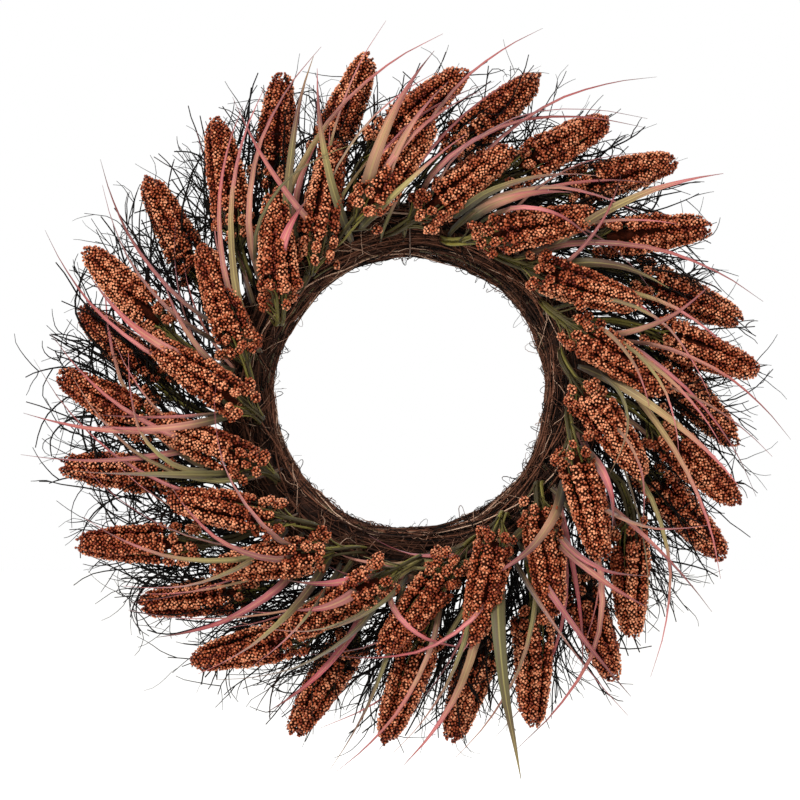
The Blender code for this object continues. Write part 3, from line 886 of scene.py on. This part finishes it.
def make_ring(sizes):
    """Four bundles of fibrous vine, wound into one ring."""
    finish = bark_finish(sizes)
    long_rod, short_rod, burr_rod = round_limb(4, 20), round_limb(3, 9), round_limb(3, 7)
    core_rod = round_limb(10, 72)
    share_ = len(BUNDLES)
    for number, node in enumerate(BUNDLES):
        random = np.random.default_rng(RING_SEED + number)
        heap = Heap()
        clock = np.linspace(0, 360, 145)
        core = ring_spot(clock, 3 * clock + 90 * number, TUBE_RADIUS - CORE_DEPTH)
        # The core stands for the inner vines; its low tone gives it the shaded bark colour, as
        # painted shade inside the ring.
        heap.add_limb(core_rod, core, CORE_RADIUS, tone=0.12)
        for _ in range(sizes.long_strands // share_):
            add_strand(heap, long_rod, LONG_STRAND, sizes.strand, random)
        for _ in range(sizes.short_strands // share_):
            add_strand(heap, short_rod, SHORT_STRAND, sizes.strand, random)
        for _ in range(sizes.burrs // share_):
            add_burr(heap, burr_rod, sizes.strand, random)
        heap.make(node.replace("bundle", "strands"), "wreath", "vine_bark", [finish], [node])


def add_binding_wire(heap, rod, clocks, section, depth, tone):
    """The wire that holds one quarter's twigs or grass against the ring."""
    clock = np.linspace(*clocks, 40)
    heap.add_limb(rod, ring_spot(clock, section, TUBE_RADIUS - depth), BINDING_WIRE, tone=tone)


def bark_finish(sizes):
    """Dry vine bark: dark strands, some peeled pale, with fibres along them."""
    finish = Finish("vine_bark", roughness=0.9, specular=0.1)
    fibres = finish.noise(finish.marks((7, 26, 9)), 3, 4, 0.6)
    patch = finish.noise(finish.place(), 60, 3)
    value = finish.math("MULTIPLY_ADD", fibres, 0.45, -0.22)
    value = finish.math("ADD", finish.mark("tone"), value)
    value = finish.math("ADD", value, finish.math("MULTIPLY_ADD", patch, 0.5, -0.25))
    base = finish.ramp(value, [
        (0.08, tuple(sizes.dark)), (0.42, tuple(sizes.brown)), (0.72, tint(sizes.brown, 2.0)),
        (0.96, tuple(sizes.light))])
    return finish.set(base, None, fibres, 0.4 * MM)


# ---- twig fringe --------------------------------------------------------------------------------
def twig_line(random, start, way, reach, curl, steps=12, wobble=0.10):
    """A crooked line that starts one way and turns by curl radians over its length."""
    side = unit(np.cross(way, FRONT))
    turn = np.linspace(0, curl, steps) + np.cumsum(random.normal(0, wobble, steps))
    lift = np.cumsum(random.normal(0, 0.035, steps))
    ways = (np.cos(turn)[:, None] * way + np.sin(turn)[:, None] * side
            + lift[:, None] * FRONT)
    steps_taken = unit(ways) * (reach / (steps - 1))
    return np.vstack([start, start + np.cumsum(steps_taken[1:], axis=0)]), unit(ways)


# Depth, from front to back, that twigs and their side twigs keep to.
TWIG_DEPTH = (-0.100, BACK_Y + 2 * MM)
BRANCH_DEPTH = (-0.104, BACK_Y + 3 * MM)


def in_loop_room(line):
    """Whether a line comes near the room in which the hanging loop swings."""
    low, high = LOOP_ROOM[0] - LOOP_MARGIN, LOOP_ROOM[1] + LOOP_MARGIN
    return bool(np.all((line > low) & (line < high), axis=1).any())


def from_middle(line):
    """Distance of a line's points from the middle of the opening, as seen from the front."""
    return np.hypot(line[:, 0] - CENTRE[0], line[:, 2] - CENTRE[2])


def trim(line, limit, depth, fewest):
    """A twig cut off at a distance from the middle and kept within its depth, or nothing where
    too little is left or it comes near the hanging loop."""
    line = line[from_middle(line) < limit]
    if len(line) < fewest:
        return None
    line[:, 1] = np.clip(line[:, 1], *depth)
    return None if in_loop_room(line) else line


def fringe_at(clock):
    """How full the fringe is there on its left, and how bare at its upper left, from 0 to 1."""
    left = math.exp(-(((clock - 255) / 34) ** 2))
    bare = math.exp(-((((clock + 200) % 360 - 188) / 44) ** 2))
    return left, bare


def add_branch(heap, rod, spot, way, radius, limit, tone, random):
    """One side twig, which starts at a spot on its twig."""
    sway = random.choice((-1, 1)) * random.uniform(0.3, 1.0)
    across = unit(np.cross(way, FRONT))
    way = unit(way * math.cos(sway) + across * math.sin(sway) + FRONT * random.normal(0, 0.15))
    line, _ = twig_line(random, spot, way, random.uniform(12, 44) * MM, random.normal(0, 0.9),
                        steps=8, wobble=0.16)
    line = trim(line, limit + 6 * MM, BRANCH_DEPTH, 4)
    if line is not None:
        thin = radius * random.uniform(0.4, 0.65)
        heap.add_limb(rod, line, (thin, thin * 0.8, thin * 0.5), tone=tone)


def add_twig(heap, rods, quarter, sizes, random):
    """One forked twig, from the ring or from the fringe. One that would cross the opening or
    come near the hanging loop is left out."""
    clock = quarter * 90 + random.uniform(0, 90)
    left, bare = fringe_at(clock)
    outer = random.uniform() < 0.55 + 0.2 * left
    if outer and random.uniform() < 0.75 * bare:
        return
    y = random.triangular(-46, -10, 2) * MM
    out = random.uniform(30, 96 + 36 * left) if outer else random.uniform(2, 30)
    start = spot_at(clock, out * MM, max(y, -34 * MM))
    lean = random.normal(44 if outer else 36, 16)
    way = clock_way(clock + lean) + FRONT * random.normal(-0.02, 0.08)
    reach = sizes.reach * random.uniform(0.55, 1.0 + 0.12 * left)
    reach = reach * (0.72 if outer else 1.0)
    edge = random.uniform(150, 178) + 16 * left
    limit = RING_RADIUS + (edge if random.uniform() < 0.85 else 194) * MM
    curl = random.normal(0.25, 0.75) * (1 + 1.0 * left)
    line, ways = twig_line(random, start, unit(way), reach, curl)
    if from_middle(line).min() < RING_RADIUS - 8 * MM:
        return
    line = trim(line, limit, TWIG_DEPTH, 5)
    if line is None:
        return
    radius = sizes.radius * random.uniform(0.55, 1.25)
    tone = random.beta(1.2, 3.4)
    main_rod, side_rod = rods
    heap.add_limb(main_rod, line, (radius, radius * 0.85, radius * 0.5), tone=tone)
    for _ in range(random.integers(1, 4)):
        k = random.integers(len(line) // 3, len(line) - 1)
        add_branch(heap, side_rod, line[k], ways[k], radius, limit, tone, random)


def make_twigs(sizes):
    """Four quarters of dark, forked twigs behind and between the heads."""
    finish = twig_finish(sizes)
    rods, wire_rod = (round_limb(3, 9), round_limb(3, 5)), round_limb(6, 24)
    for quarter in range(QUARTERS):
        random = np.random.default_rng(TWIG_SEED + quarter)
        heap = Heap()
        clocks = quarter * 90 + 2, quarter * 90 + 88
        add_binding_wire(heap, wire_rod, clocks, section=-60, depth=1 * MM, tone=0.6)
        for _ in range(sizes.twigs // QUARTERS):
            add_twig(heap, rods, quarter, sizes, random)
        heap.make(f"twig_fringe_{quarter + 1}", "wreath", "dark_twig", [finish],
                  [f"twig_spray_{quarter + 1}"])


def twig_finish(sizes):
    """Black-brown twigs with a dry, faintly ringed bark."""
    finish = Finish("dark_twig", roughness=0.8, specular=0.08)
    rings = finish.noise(finish.marks((2, 40, 5)), 4, 3)
    value = finish.math("ADD", finish.math("MULTIPLY", rings, 0.5), finish.math(
        "MULTIPLY_ADD", finish.mark("tone"), 0.8, -0.2))
    base = finish.ramp(value, [(0.2, tuple(sizes.black)), (0.9, tuple(sizes.brown))])
    return finish.set(base, None, rings, 0.2 * MM)


# ---- grass --------------------------------------------------------------------------------------
# Places along a blade, how much of its height it has reached there, then its half width and the
# depth of its fold, both even steps from root to tip.
BLADE_MARKS = np.array([0.0, 0.10, 0.34, 0.62, 0.84, 1.0])
BLADE_RISE = np.array([0.0, 0.35, 0.85, 1.0, 0.92, 0.80])
BLADE_OUTLINE = np.array([0.42, 0.72, 0.95, 1.0, 0.96, 0.86, 0.72, 0.56, 0.40, 0.25, 0.13, 0.05])
BLADE_FOLD = np.array([10.0, 10.0, 7.0, 3.0])
# Blades listed one by one. Root: clock, out (mm). Tip: clock, out (mm). Then bow (mm, positive
# bulges anticlockwise or outwards), how far in front of the ring (mm), width and hue (0 olive
# to 1 maroon).
PLACED_BLADES = (
    # top
    (316, 8, 344, 153, -14, 98, 1.2, 0.15),
    (339, -5, 344, 142, 4, 100, 1.1, 0.25),
    (332, 0, 329, 148, 10, 102, 0.8, 0.75),
    (312, 10, 332, 44, 0, 98, 1.5, 0.8),
    (344, 9, 4, 146, -4, 108, 1.6, 0.55),
    (350, 14, 7, 122, 0, 104, 1.3, 0.6),
    (331, 16, 5, 130, 0, 100, 0.9, 0.5),
    (346, 14, 14, 122, 0, 104, 0.9, 0.7),
    (306, 18, 349, 74, 14, 106, 0.5, 0.1),
    (350, 17, 27, 12, -2, 34, 0.9, 0.6),
    (356, 15, 20, 185, 4, 88, 0.6, 0.7),
    # right
    (36, 20, 22, -6, -8, 60, 0.9, 0.8),
    (14, 12, 41, 100, 0, 104, 1.3, 0.2),
    (18, 12, 39, 76, 0, 98, 1.4, 0.6),
    (22, 14, 54, 60, 12, 108, 0.6, 0.85),
    (22, 10, 47, -2, 8, 46, 0.6, 0.2),
    (12, 15, 38, 196, 6, 84, 0.5, 0.8),
    (44, 12, 55, 179, 4, 106, 1.2, 0.4),
    (50, 14, 44, 114, -6, 106, 0.5, 0.9),
    (48, 12, 68, 95, 4, 70, 1.3, 0.1),
    (50, -6, 70, 22, 2, 52, 1.2, 0.05),
    (66, 16, 95, 62, 4, 104, 0.6, 0.5),
    (72, 14, 70, 129, -12, 98, 0.8, 0.6),
    (70, 14, 104, 92, 10, 104, 0.5, 0.3),
    (82, 12, 112, 40, 16, 106, 0.6, 0.15),
    (96, 14, 120, 84, 8, 104, 0.5, 0.6),
    (74, 14, 97, 181, 6, 90, 0.6, 0.7),
    (84, 15, 100, 168, 4, 88, 0.7, 0.6),
    # lower right
    (108, 12, 124, 64, 4, 104, 1.5, 0.9),
    (118, 12, 114, 132, -16, 100, 1.1, 0.6),
    (118, 15, 126, 172, 0, 94, 0.9, 0.75),
    (120, 10, 158, 28, 4, 92, 1.5, 0.55),
    (132, 14, 127, 114, -14, 100, 1.1, 0.85),
    (135, 14, 132, 130, -4, 98, 1.0, 0.7),
    (144, 14, 144, 174, -4, 96, 1.0, 0.95),
    (148, 15, 146, 186, -4, 90, 1.0, 0.65),
    (151, 12, 164, 195, -20, 108, 1.8, 0.05),
    (170, 15, 191, 183, 4, 88, 0.7, 0.6),
    # bottom
    (127, 8, 196, 4, 6, 62, 1.2, 0.1),
    (152, 2, 196, -14, 6, 50, 1.0, 0.85),
    (158, -4, 207, 10, 2, 52, 1.0, 0.2),
    (158, 15, 181, 173, 2, 70, 1.3, 0.5),
    (176, 14, 206, 22, 4, 60, 1.0, 0.7),
    (180, 11, 200, 72, 0, 100, 0.9, 0.15),
    (182, 15, 192, 183, 2, 72, 1.0, 0.15),
    (188, 14, 166, 80, -12, 104, 0.8, 0.85),
    # lower left
    (150, 16, 198, 90, 14, 106, 0.6, 0.9),
    (184, 10, 217, 100, 10, 96, 0.9, 0.2),
    (186, 16, 214, 150, 6, 92, 1.3, 0.14),
    (188, 8, 213, 48, 0, 88, 1.2, 0.95),
    (190, 16, 204, 154, 4, 60, 1.2, 1.0),
    (192, 16, 209, 68, 4, 102, 1.4, 0.7),
    (202, 14, 210, 124, 2, 104, 0.8, 0.3),
    (206, 14, 217, 154, 4, 106, 1.2, 0.3),
    (210, 14, 250, 76, 10, 102, 0.8, 0.75),
    (212, 16, 226, 156, 6, 70, 1.1, 0.9),
    (222, 14, 236, 149, 8, 100, 1.1, 0.4),
    # left
    (204, 20, 276, 23, 6, 100, 1.1, 0.75),
    (243, 12, 257, 150, -10, 104, 1.5, 0.18),
    (246, 15, 278, 98, 26, 100, 0.9, 0.3),
    (256, 18, 261, 190, 6, 92, 0.9, 0.75),
    (262, 18, 267, 184, 8, 94, 0.9, 0.7),
    (263, 10, 264, 124, 6, 100, 1.0, 0.65),
    (264, 10, 266, 122, 2, 98, 0.7, 0.8),
    (274, 16, 294, 195, 6, 84, 0.6, 0.8),
    (275, 10, 295, 88, 0, 100, 0.8, 0.6),
    (277, 8, 290, 145, 6, 98, 1.2, 0.7),
    (284, 14, 304, 171, 6, 90, 0.8, 0.7),
    (288, 14, 307, 185, 4, 86, 0.7, 0.8),
)


def loose_blades(number, random):
    """Rows for blades scattered round the ring, in the form of the listed ones."""
    rows = []
    for k in range(number):
        clock = 360 * (k + random.uniform(0, 1)) / number
        out = random.uniform(80, 178)
        sweep = random.normal(30, 9) + (out - 80) * 0.12
        rows.append((clock, random.uniform(-16, 18), clock + sweep, out, random.normal(-2, 10),
                     random.uniform(34, 100), random.uniform(0.4, 1.1), random.beta(2.2, 1.8)))
    return rows


def make_grass(sizes):
    """Four quarters of grass, arching out over and between the heads."""
    finish = grass_finish(sizes)
    blade, wire_rod = leaf_blade(14), round_limb(6, 24)
    heaps = [Heap() for _ in range(QUARTERS)]
    random = np.random.default_rng(GRASS_SEED)
    for row in (*PLACED_BLADES, *loose_blades(sizes.loose, random)):
        add_blade(heaps[int(row[0] % 360 // 90)], blade, row, sizes, random)
    for quarter, heap in enumerate(heaps):
        clocks = quarter * 90 + 4, quarter * 90 + 80
        add_binding_wire(heap, wire_rod, clocks, section=152, depth=2 * MM, tone=0.1)
        heap.make(f"grass_tufts_{quarter + 1}", "wreath", "grass_blade", [finish],
                  [f"grass_spray_{quarter + 1}"])


def add_blade(heap, blade, row, sizes, random):
    """One blade from its root on the ring, over the heads, to its drooping tip."""
    root_clock, root_out, tip_clock, tip_out, bow, front, wide, hue = row
    share_, rise = BLADE_MARKS, BLADE_RISE
    clock = root_clock + ((tip_clock - root_clock + 180) % 360 - 180) * share_**1.15
    out = root_out + (tip_out - root_out) * share_
    skin = math.sqrt(max(TUBE_RADIUS**2 - (root_out * MM) ** 2, (6 * MM) ** 2))
    root_y = CENTRE[1] - skin + 3 * MM
    y = root_y + (-front * MM - root_y) * rise
    spots = spot_at(clock, out * MM, y)
    ahead = unit(spots[-1] - spots[0])
    side = unit(np.cross(FRONT, ahead))
    spots = spots + side * (bow * MM * np.sin(np.pi * share_))[:, None]
    line = smooth_line(spots, 5)
    line[:, 1] = np.maximum(line[:, 1], CAD_BOX[0][1] - 6 * MM)
    ahead = unit(np.gradient(line, axis=0))
    tilt = random.normal(0, 0.5) + np.linspace(0, random.normal(0, 0.9), len(line))
    over = np.cross(ahead, unit(np.cross(np.broadcast_to(FRONT, line.shape), ahead)))
    across = np.cross(ahead, over)
    up = over * np.cos(tilt)[:, None] + across * np.sin(tilt)[:, None]
    points = bend(blade, line, sizes.width / 2 * wide * BLADE_OUTLINE,
                  sizes.thickness * BLADE_FOLD, up)
    heap.add(points, blade.faces, 0, hue, blade.points[:, 2], 0.5 + 0.5 * blade.points[:, 0])


def grass_finish(sizes):
    """Printed grass: olive at the root, then khaki and pink, with fine lines along it, painted shadow
    in soft patches and a pale midrib that is partly a painted highlight.
    """
    finish = Finish("grass_blade", roughness=0.55, specular=0.35, sheen=0.15)
    along, hue = finish.mark("along"), finish.mark("tone")
    lines = finish.noise(finish.marks((6, 0.7, 12)), 2.0, 2)
    cloud = finish.noise(finish.place(), 26, 2)
    place = finish.math("ADD", along, finish.math("MULTIPLY_ADD", cloud, 0.5, -0.25))
    green = finish.ramp(place, [
        (0.0, tint(sizes.olive, 0.35)), (0.30, tint(sizes.olive, 0.8)), (0.70, tuple(sizes.olive)),
        (0.95, tuple(sizes.khaki))])
    plain = finish.ramp(place, [
        (0.0, tint(sizes.olive, 0.5)), (0.28, tuple(sizes.olive)), (0.54, tuple(sizes.khaki)),
        (0.76, tuple(sizes.pink)), (0.95, tint(sizes.pink, 1.25))])
    rosy = finish.ramp(place, [
        (0.0, tint(sizes.olive, 0.5)), (0.24, tuple(sizes.olive)), (0.46, tuple(sizes.pink)),
        (0.68, tuple(sizes.rose)), (0.95, tuple(sizes.maroon))])
    base = finish.mix(finish.math("MULTIPLY_ADD", hue, 8.0, -1.0), green, plain)
    base = finish.mix(finish.math("MULTIPLY_ADD", hue, 2.2, -0.8), base, rosy)
    # Painted shadow: soft patches of the blades are darkened towards maroon.
    painted_shadow_patches = finish.math("MULTIPLY_ADD", finish.noise(finish.place(), 15, 1), 2.4, -1.0)
    base = finish.mix(painted_shadow_patches, base, tint(sizes.maroon, 0.7))
    fine = finish.math("MULTIPLY_ADD", lines, 2.6, -0.9)
    base = finish.mix(finish.math("MULTIPLY", fine, 0.6), base, tint(sizes.maroon, 0.4))
    # A pale stripe down the crease: partly the blade's own midrib, partly a painted highlight.
    pale_midrib_and_highlight = finish.ramp(finish.mark("across"), [
        (0.40, (0, 0, 0)), (0.49, (1, 1, 1)), (0.51, (1, 1, 1)), (0.60, (0, 0, 0))])
    base = finish.mix(finish.math("MULTIPLY", pale_midrib_and_highlight, 0.3), base, tint(sizes.khaki, 1.5))
    return finish.set(base, None, lines, 0.3 * MM)


# ---- wires --------------------------------------------------------------------------------------
def wire_finish(name, shade, roughness, metallic):
    """Drawn wire with fine scratches and dull patches."""
    finish = Finish(name, roughness=roughness, metallic=metallic)
    dull = finish.noise(finish.place(), 180, 4)
    scratch = finish.noise(finish.place((1, 1, 6)), 700, 2)
    base = finish.ramp(dull, [(0.3, tint(shade, 0.62)), (0.7, tuple(shade))])
    rough = finish.math("MULTIPLY_ADD", scratch, 0.3, roughness - 0.15)
    return finish.set(base, rough, scratch, 0.05 * MM)


def refine_wire(node, finish):
    """A CAD wire with its seams closed, rounded once, and finished."""
    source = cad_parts[node]
    clear_selection()
    made = bpy.data.objects.new(f"{node}_wire", source.data.copy())
    bpy.context.scene.collection.objects.link(made)
    made.select_set(True)
    bpy.context.view_layer.objects.active = made
    bpy.ops.object.mode_set(mode="EDIT")
    bpy.ops.mesh.select_all(action="SELECT")
    bpy.ops.mesh.remove_doubles(threshold=0.00001)
    bpy.ops.mesh.tris_convert_to_quads()
    bpy.ops.object.mode_set(mode="OBJECT")
    rounding = made.modifiers.new("Rounding", "SUBSURF")
    rounding.levels = rounding.render_levels = 1
    bpy.ops.object.modifier_apply(modifier=rounding.name)
    made.data.shade_smooth()
    made.data.materials.clear()
    made.data.materials.append(finish)
    return made


# ---- stage --------------------------------------------------------------------------------------
AIM_LEFT, AIM_LOW = 8.5 * MM, 6 * MM    # from the ring's centre to the middle of the view
FLOOR_RADIUS = 9.0
SENSOR_WIDTH = 36                       # of the camera, in mm


def soft_lamp(name, place, aim, size, power):
    """A square soft light that looks at a point."""
    data = bpy.data.lights.new(name, "AREA")
    data.shape, data.size, data.energy = "SQUARE", size, power
    lamp = bpy.data.objects.new(name, data)
    lamp.location = place
    lamp.rotation_euler = (Vector(aim) - Vector(place)).to_track_quat("-Z", "Y").to_euler()
    bpy.context.scene.collection.objects.link(lamp)
    return lamp


def make_stage(sizes):
    """Pale floor, white surroundings, soft lamps and the camera."""
    finish = Finish("pale_floor", roughness=0.85, specular=0.2)
    grain = finish.noise(finish.place(), 3, 3)
    base = finish.ramp(grain, [(0.3, tint(sizes.floor, 0.985)), (0.7, tuple(sizes.floor))])
    finish.set(base)
    finish.shader.inputs["Emission Color"].default_value = (1, 1, 1, 1)
    finish.shader.inputs["Emission Strength"].default_value = 0.12
    clear_selection()
    level = CAD_BOX[0][2] - sizes.floor_drop
    bpy.ops.mesh.primitive_circle_add(vertices=96, radius=FLOOR_RADIUS, fill_type="NGON",
                                      location=(0, 0, level))
    floor = bpy.context.active_object
    floor.name = "floor"
    floor.data.materials.append(finish.material)

    world = bpy.data.worlds.new("White room")
    world.use_nodes = True
    bpy.context.scene.world = world
    sky = world.node_tree.nodes["Background"]
    sky.inputs["Color"].default_value = (1, 1, 1, 1)
    sky.inputs["Strength"].default_value = sizes.sky

    aim = (0, -0.04, CENTRE[2])
    soft_lamp("key_lamp", (-1.4, -2.4, CENTRE[2] + 1.8), aim, 0.5, 100)
    soft_lamp("fill_lamp", (1.9, -2.0, CENTRE[2] + 0.3), aim, 1.0, 14)
    soft_lamp("back_lamp", (0.8, 1.8, CENTRE[2] + 1.5), aim, 1.4, 20)

    data = bpy.data.cameras.new("camera")
    data.sensor_width = SENSOR_WIDTH
    data.lens = SENSOR_WIDTH * sizes.distance / sizes.view_width
    data.clip_end = 100
    camera = bpy.data.objects.new("camera", data)
    camera.location = (CENTRE[0] - AIM_LEFT, -sizes.distance, CENTRE[2] - AIM_LOW)
    camera.rotation_euler = (math.pi / 2, 0, 0)
    bpy.context.scene.collection.objects.link(camera)
    bpy.context.scene.camera = camera
    bpy.context.scene.view_settings.view_transform = "Standard"


# ---- operators and panel ------------------------------------------------------------------------
class WREATH_OT_vine_ring(bpy.types.Operator):
    """Winds the four bundles of vine into the ring"""

    bl_idname = "wreath.vine_ring"
    bl_label = "Vine ring"

    def execute(self, context):
        make_ring(context.scene.wreath_ring)
        return {"FINISHED"}


class WREATH_OT_seed_heads(bpy.types.Operator):
    """Covers every seed head with its beads and sets it on its stalks"""

    bl_idname = "wreath.seed_heads"
    bl_label = "Seed heads"

    def execute(self, context):
        maker = SeedHeadMaker(context.scene.wreath_heads)
        for node in HEADS:
            maker.make(node)
        return {"FINISHED"}


class WREATH_OT_twig_fringe(bpy.types.Operator):
    """Sets the dark twigs behind and between the heads"""

    bl_idname = "wreath.twig_fringe"
    bl_label = "Twig fringe"

    def execute(self, context):
        make_twigs(context.scene.wreath_twigs)
        return {"FINISHED"}


class WREATH_OT_grass(bpy.types.Operator):
    """Lays the grass over and between the heads"""

    bl_idname = "wreath.grass"
    bl_label = "Grass"

    def execute(self, context):
        make_grass(context.scene.wreath_grass)
        return {"FINISHED"}


class WREATH_OT_wires(bpy.types.Operator):
    """Finishes the hoop, the tie and the loop that the wreath hangs by"""

    bl_idname = "wreath.wires"
    bl_label = "Hoop, tie and hanging loop"

    def execute(self, context):
        sizes = context.scene.wreath_wires
        steel = wire_finish("galvanised_wire", sizes.steel, 0.42, 1.0)
        coated = wire_finish("coated_wire", sizes.brown, 0.5, 0.0)
        for node, body, slot, finish in (("wire_hoop", "wreath", "hoop_wire", steel),
                                         ("hanger_tie", "wreath", "tie_wire", coated),
                                         ("hanging_loop", "hanging_loop", "loop_wire", steel)):
            made = refine_wire(node, finish)
            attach(made, body)
            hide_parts(node)
        return {"FINISHED"}


class WREATH_OT_stage(bpy.types.Operator):
    """Sets up the pale floor, the soft light and the camera"""

    bl_idname = "wreath.stage"
    bl_label = "Stage"

    def execute(self, context):
        make_stage(context.scene.wreath_stage)
        return {"FINISHED"}


OPERATORS = (WREATH_OT_vine_ring, WREATH_OT_seed_heads, WREATH_OT_twig_fringe, WREATH_OT_grass,
             WREATH_OT_wires, WREATH_OT_stage)
GROUPS = (("wreath_ring", RingSettings), ("wreath_heads", SeedHeadSettings),
          ("wreath_twigs", TwigSettings), ("wreath_grass", GrassSettings),
          ("wreath_wires", WireSettings), ("wreath_stage", StageSettings))


class WREATH_PT_panel(bpy.types.Panel):
    """Buttons and settings for the wreath"""

    bl_idname = "WREATH_PT_panel"
    bl_label = "Harvest door wreath"
    bl_space_type = "VIEW_3D"
    bl_region_type = "UI"
    bl_category = "Wreath"

    def draw(self, context):
        for operator, (key, group) in zip(OPERATORS, GROUPS):
            box = self.layout.box()
            box.operator(operator.bl_idname)
            settings = getattr(context.scene, key)
            for name in group.__annotations__:
                box.prop(settings, name)


def register():
    """Adds the settings, the operators and the panel."""
    for key, group in GROUPS:
        bpy.utils.register_class(group)
        setattr(bpy.types.Scene, key, PointerProperty(type=group))
    for item in (*OPERATORS, WREATH_PT_panel):
        bpy.utils.register_class(item)


def unregister():
    """Takes them away again."""
    for item in (WREATH_PT_panel, *reversed(OPERATORS)):
        bpy.utils.unregister_class(item)
    for key, group in reversed(GROUPS):
        delattr(bpy.types.Scene, key)
        bpy.utils.unregister_class(group)


def main():
    """Builds the wreath and its stage."""
    register()
    for build in (bpy.ops.wreath.vine_ring, bpy.ops.wreath.seed_heads, bpy.ops.wreath.twig_fringe,
                  bpy.ops.wreath.grass, bpy.ops.wreath.wires, bpy.ops.wreath.stage):
        build()


if __name__ == "__main__":
    main()
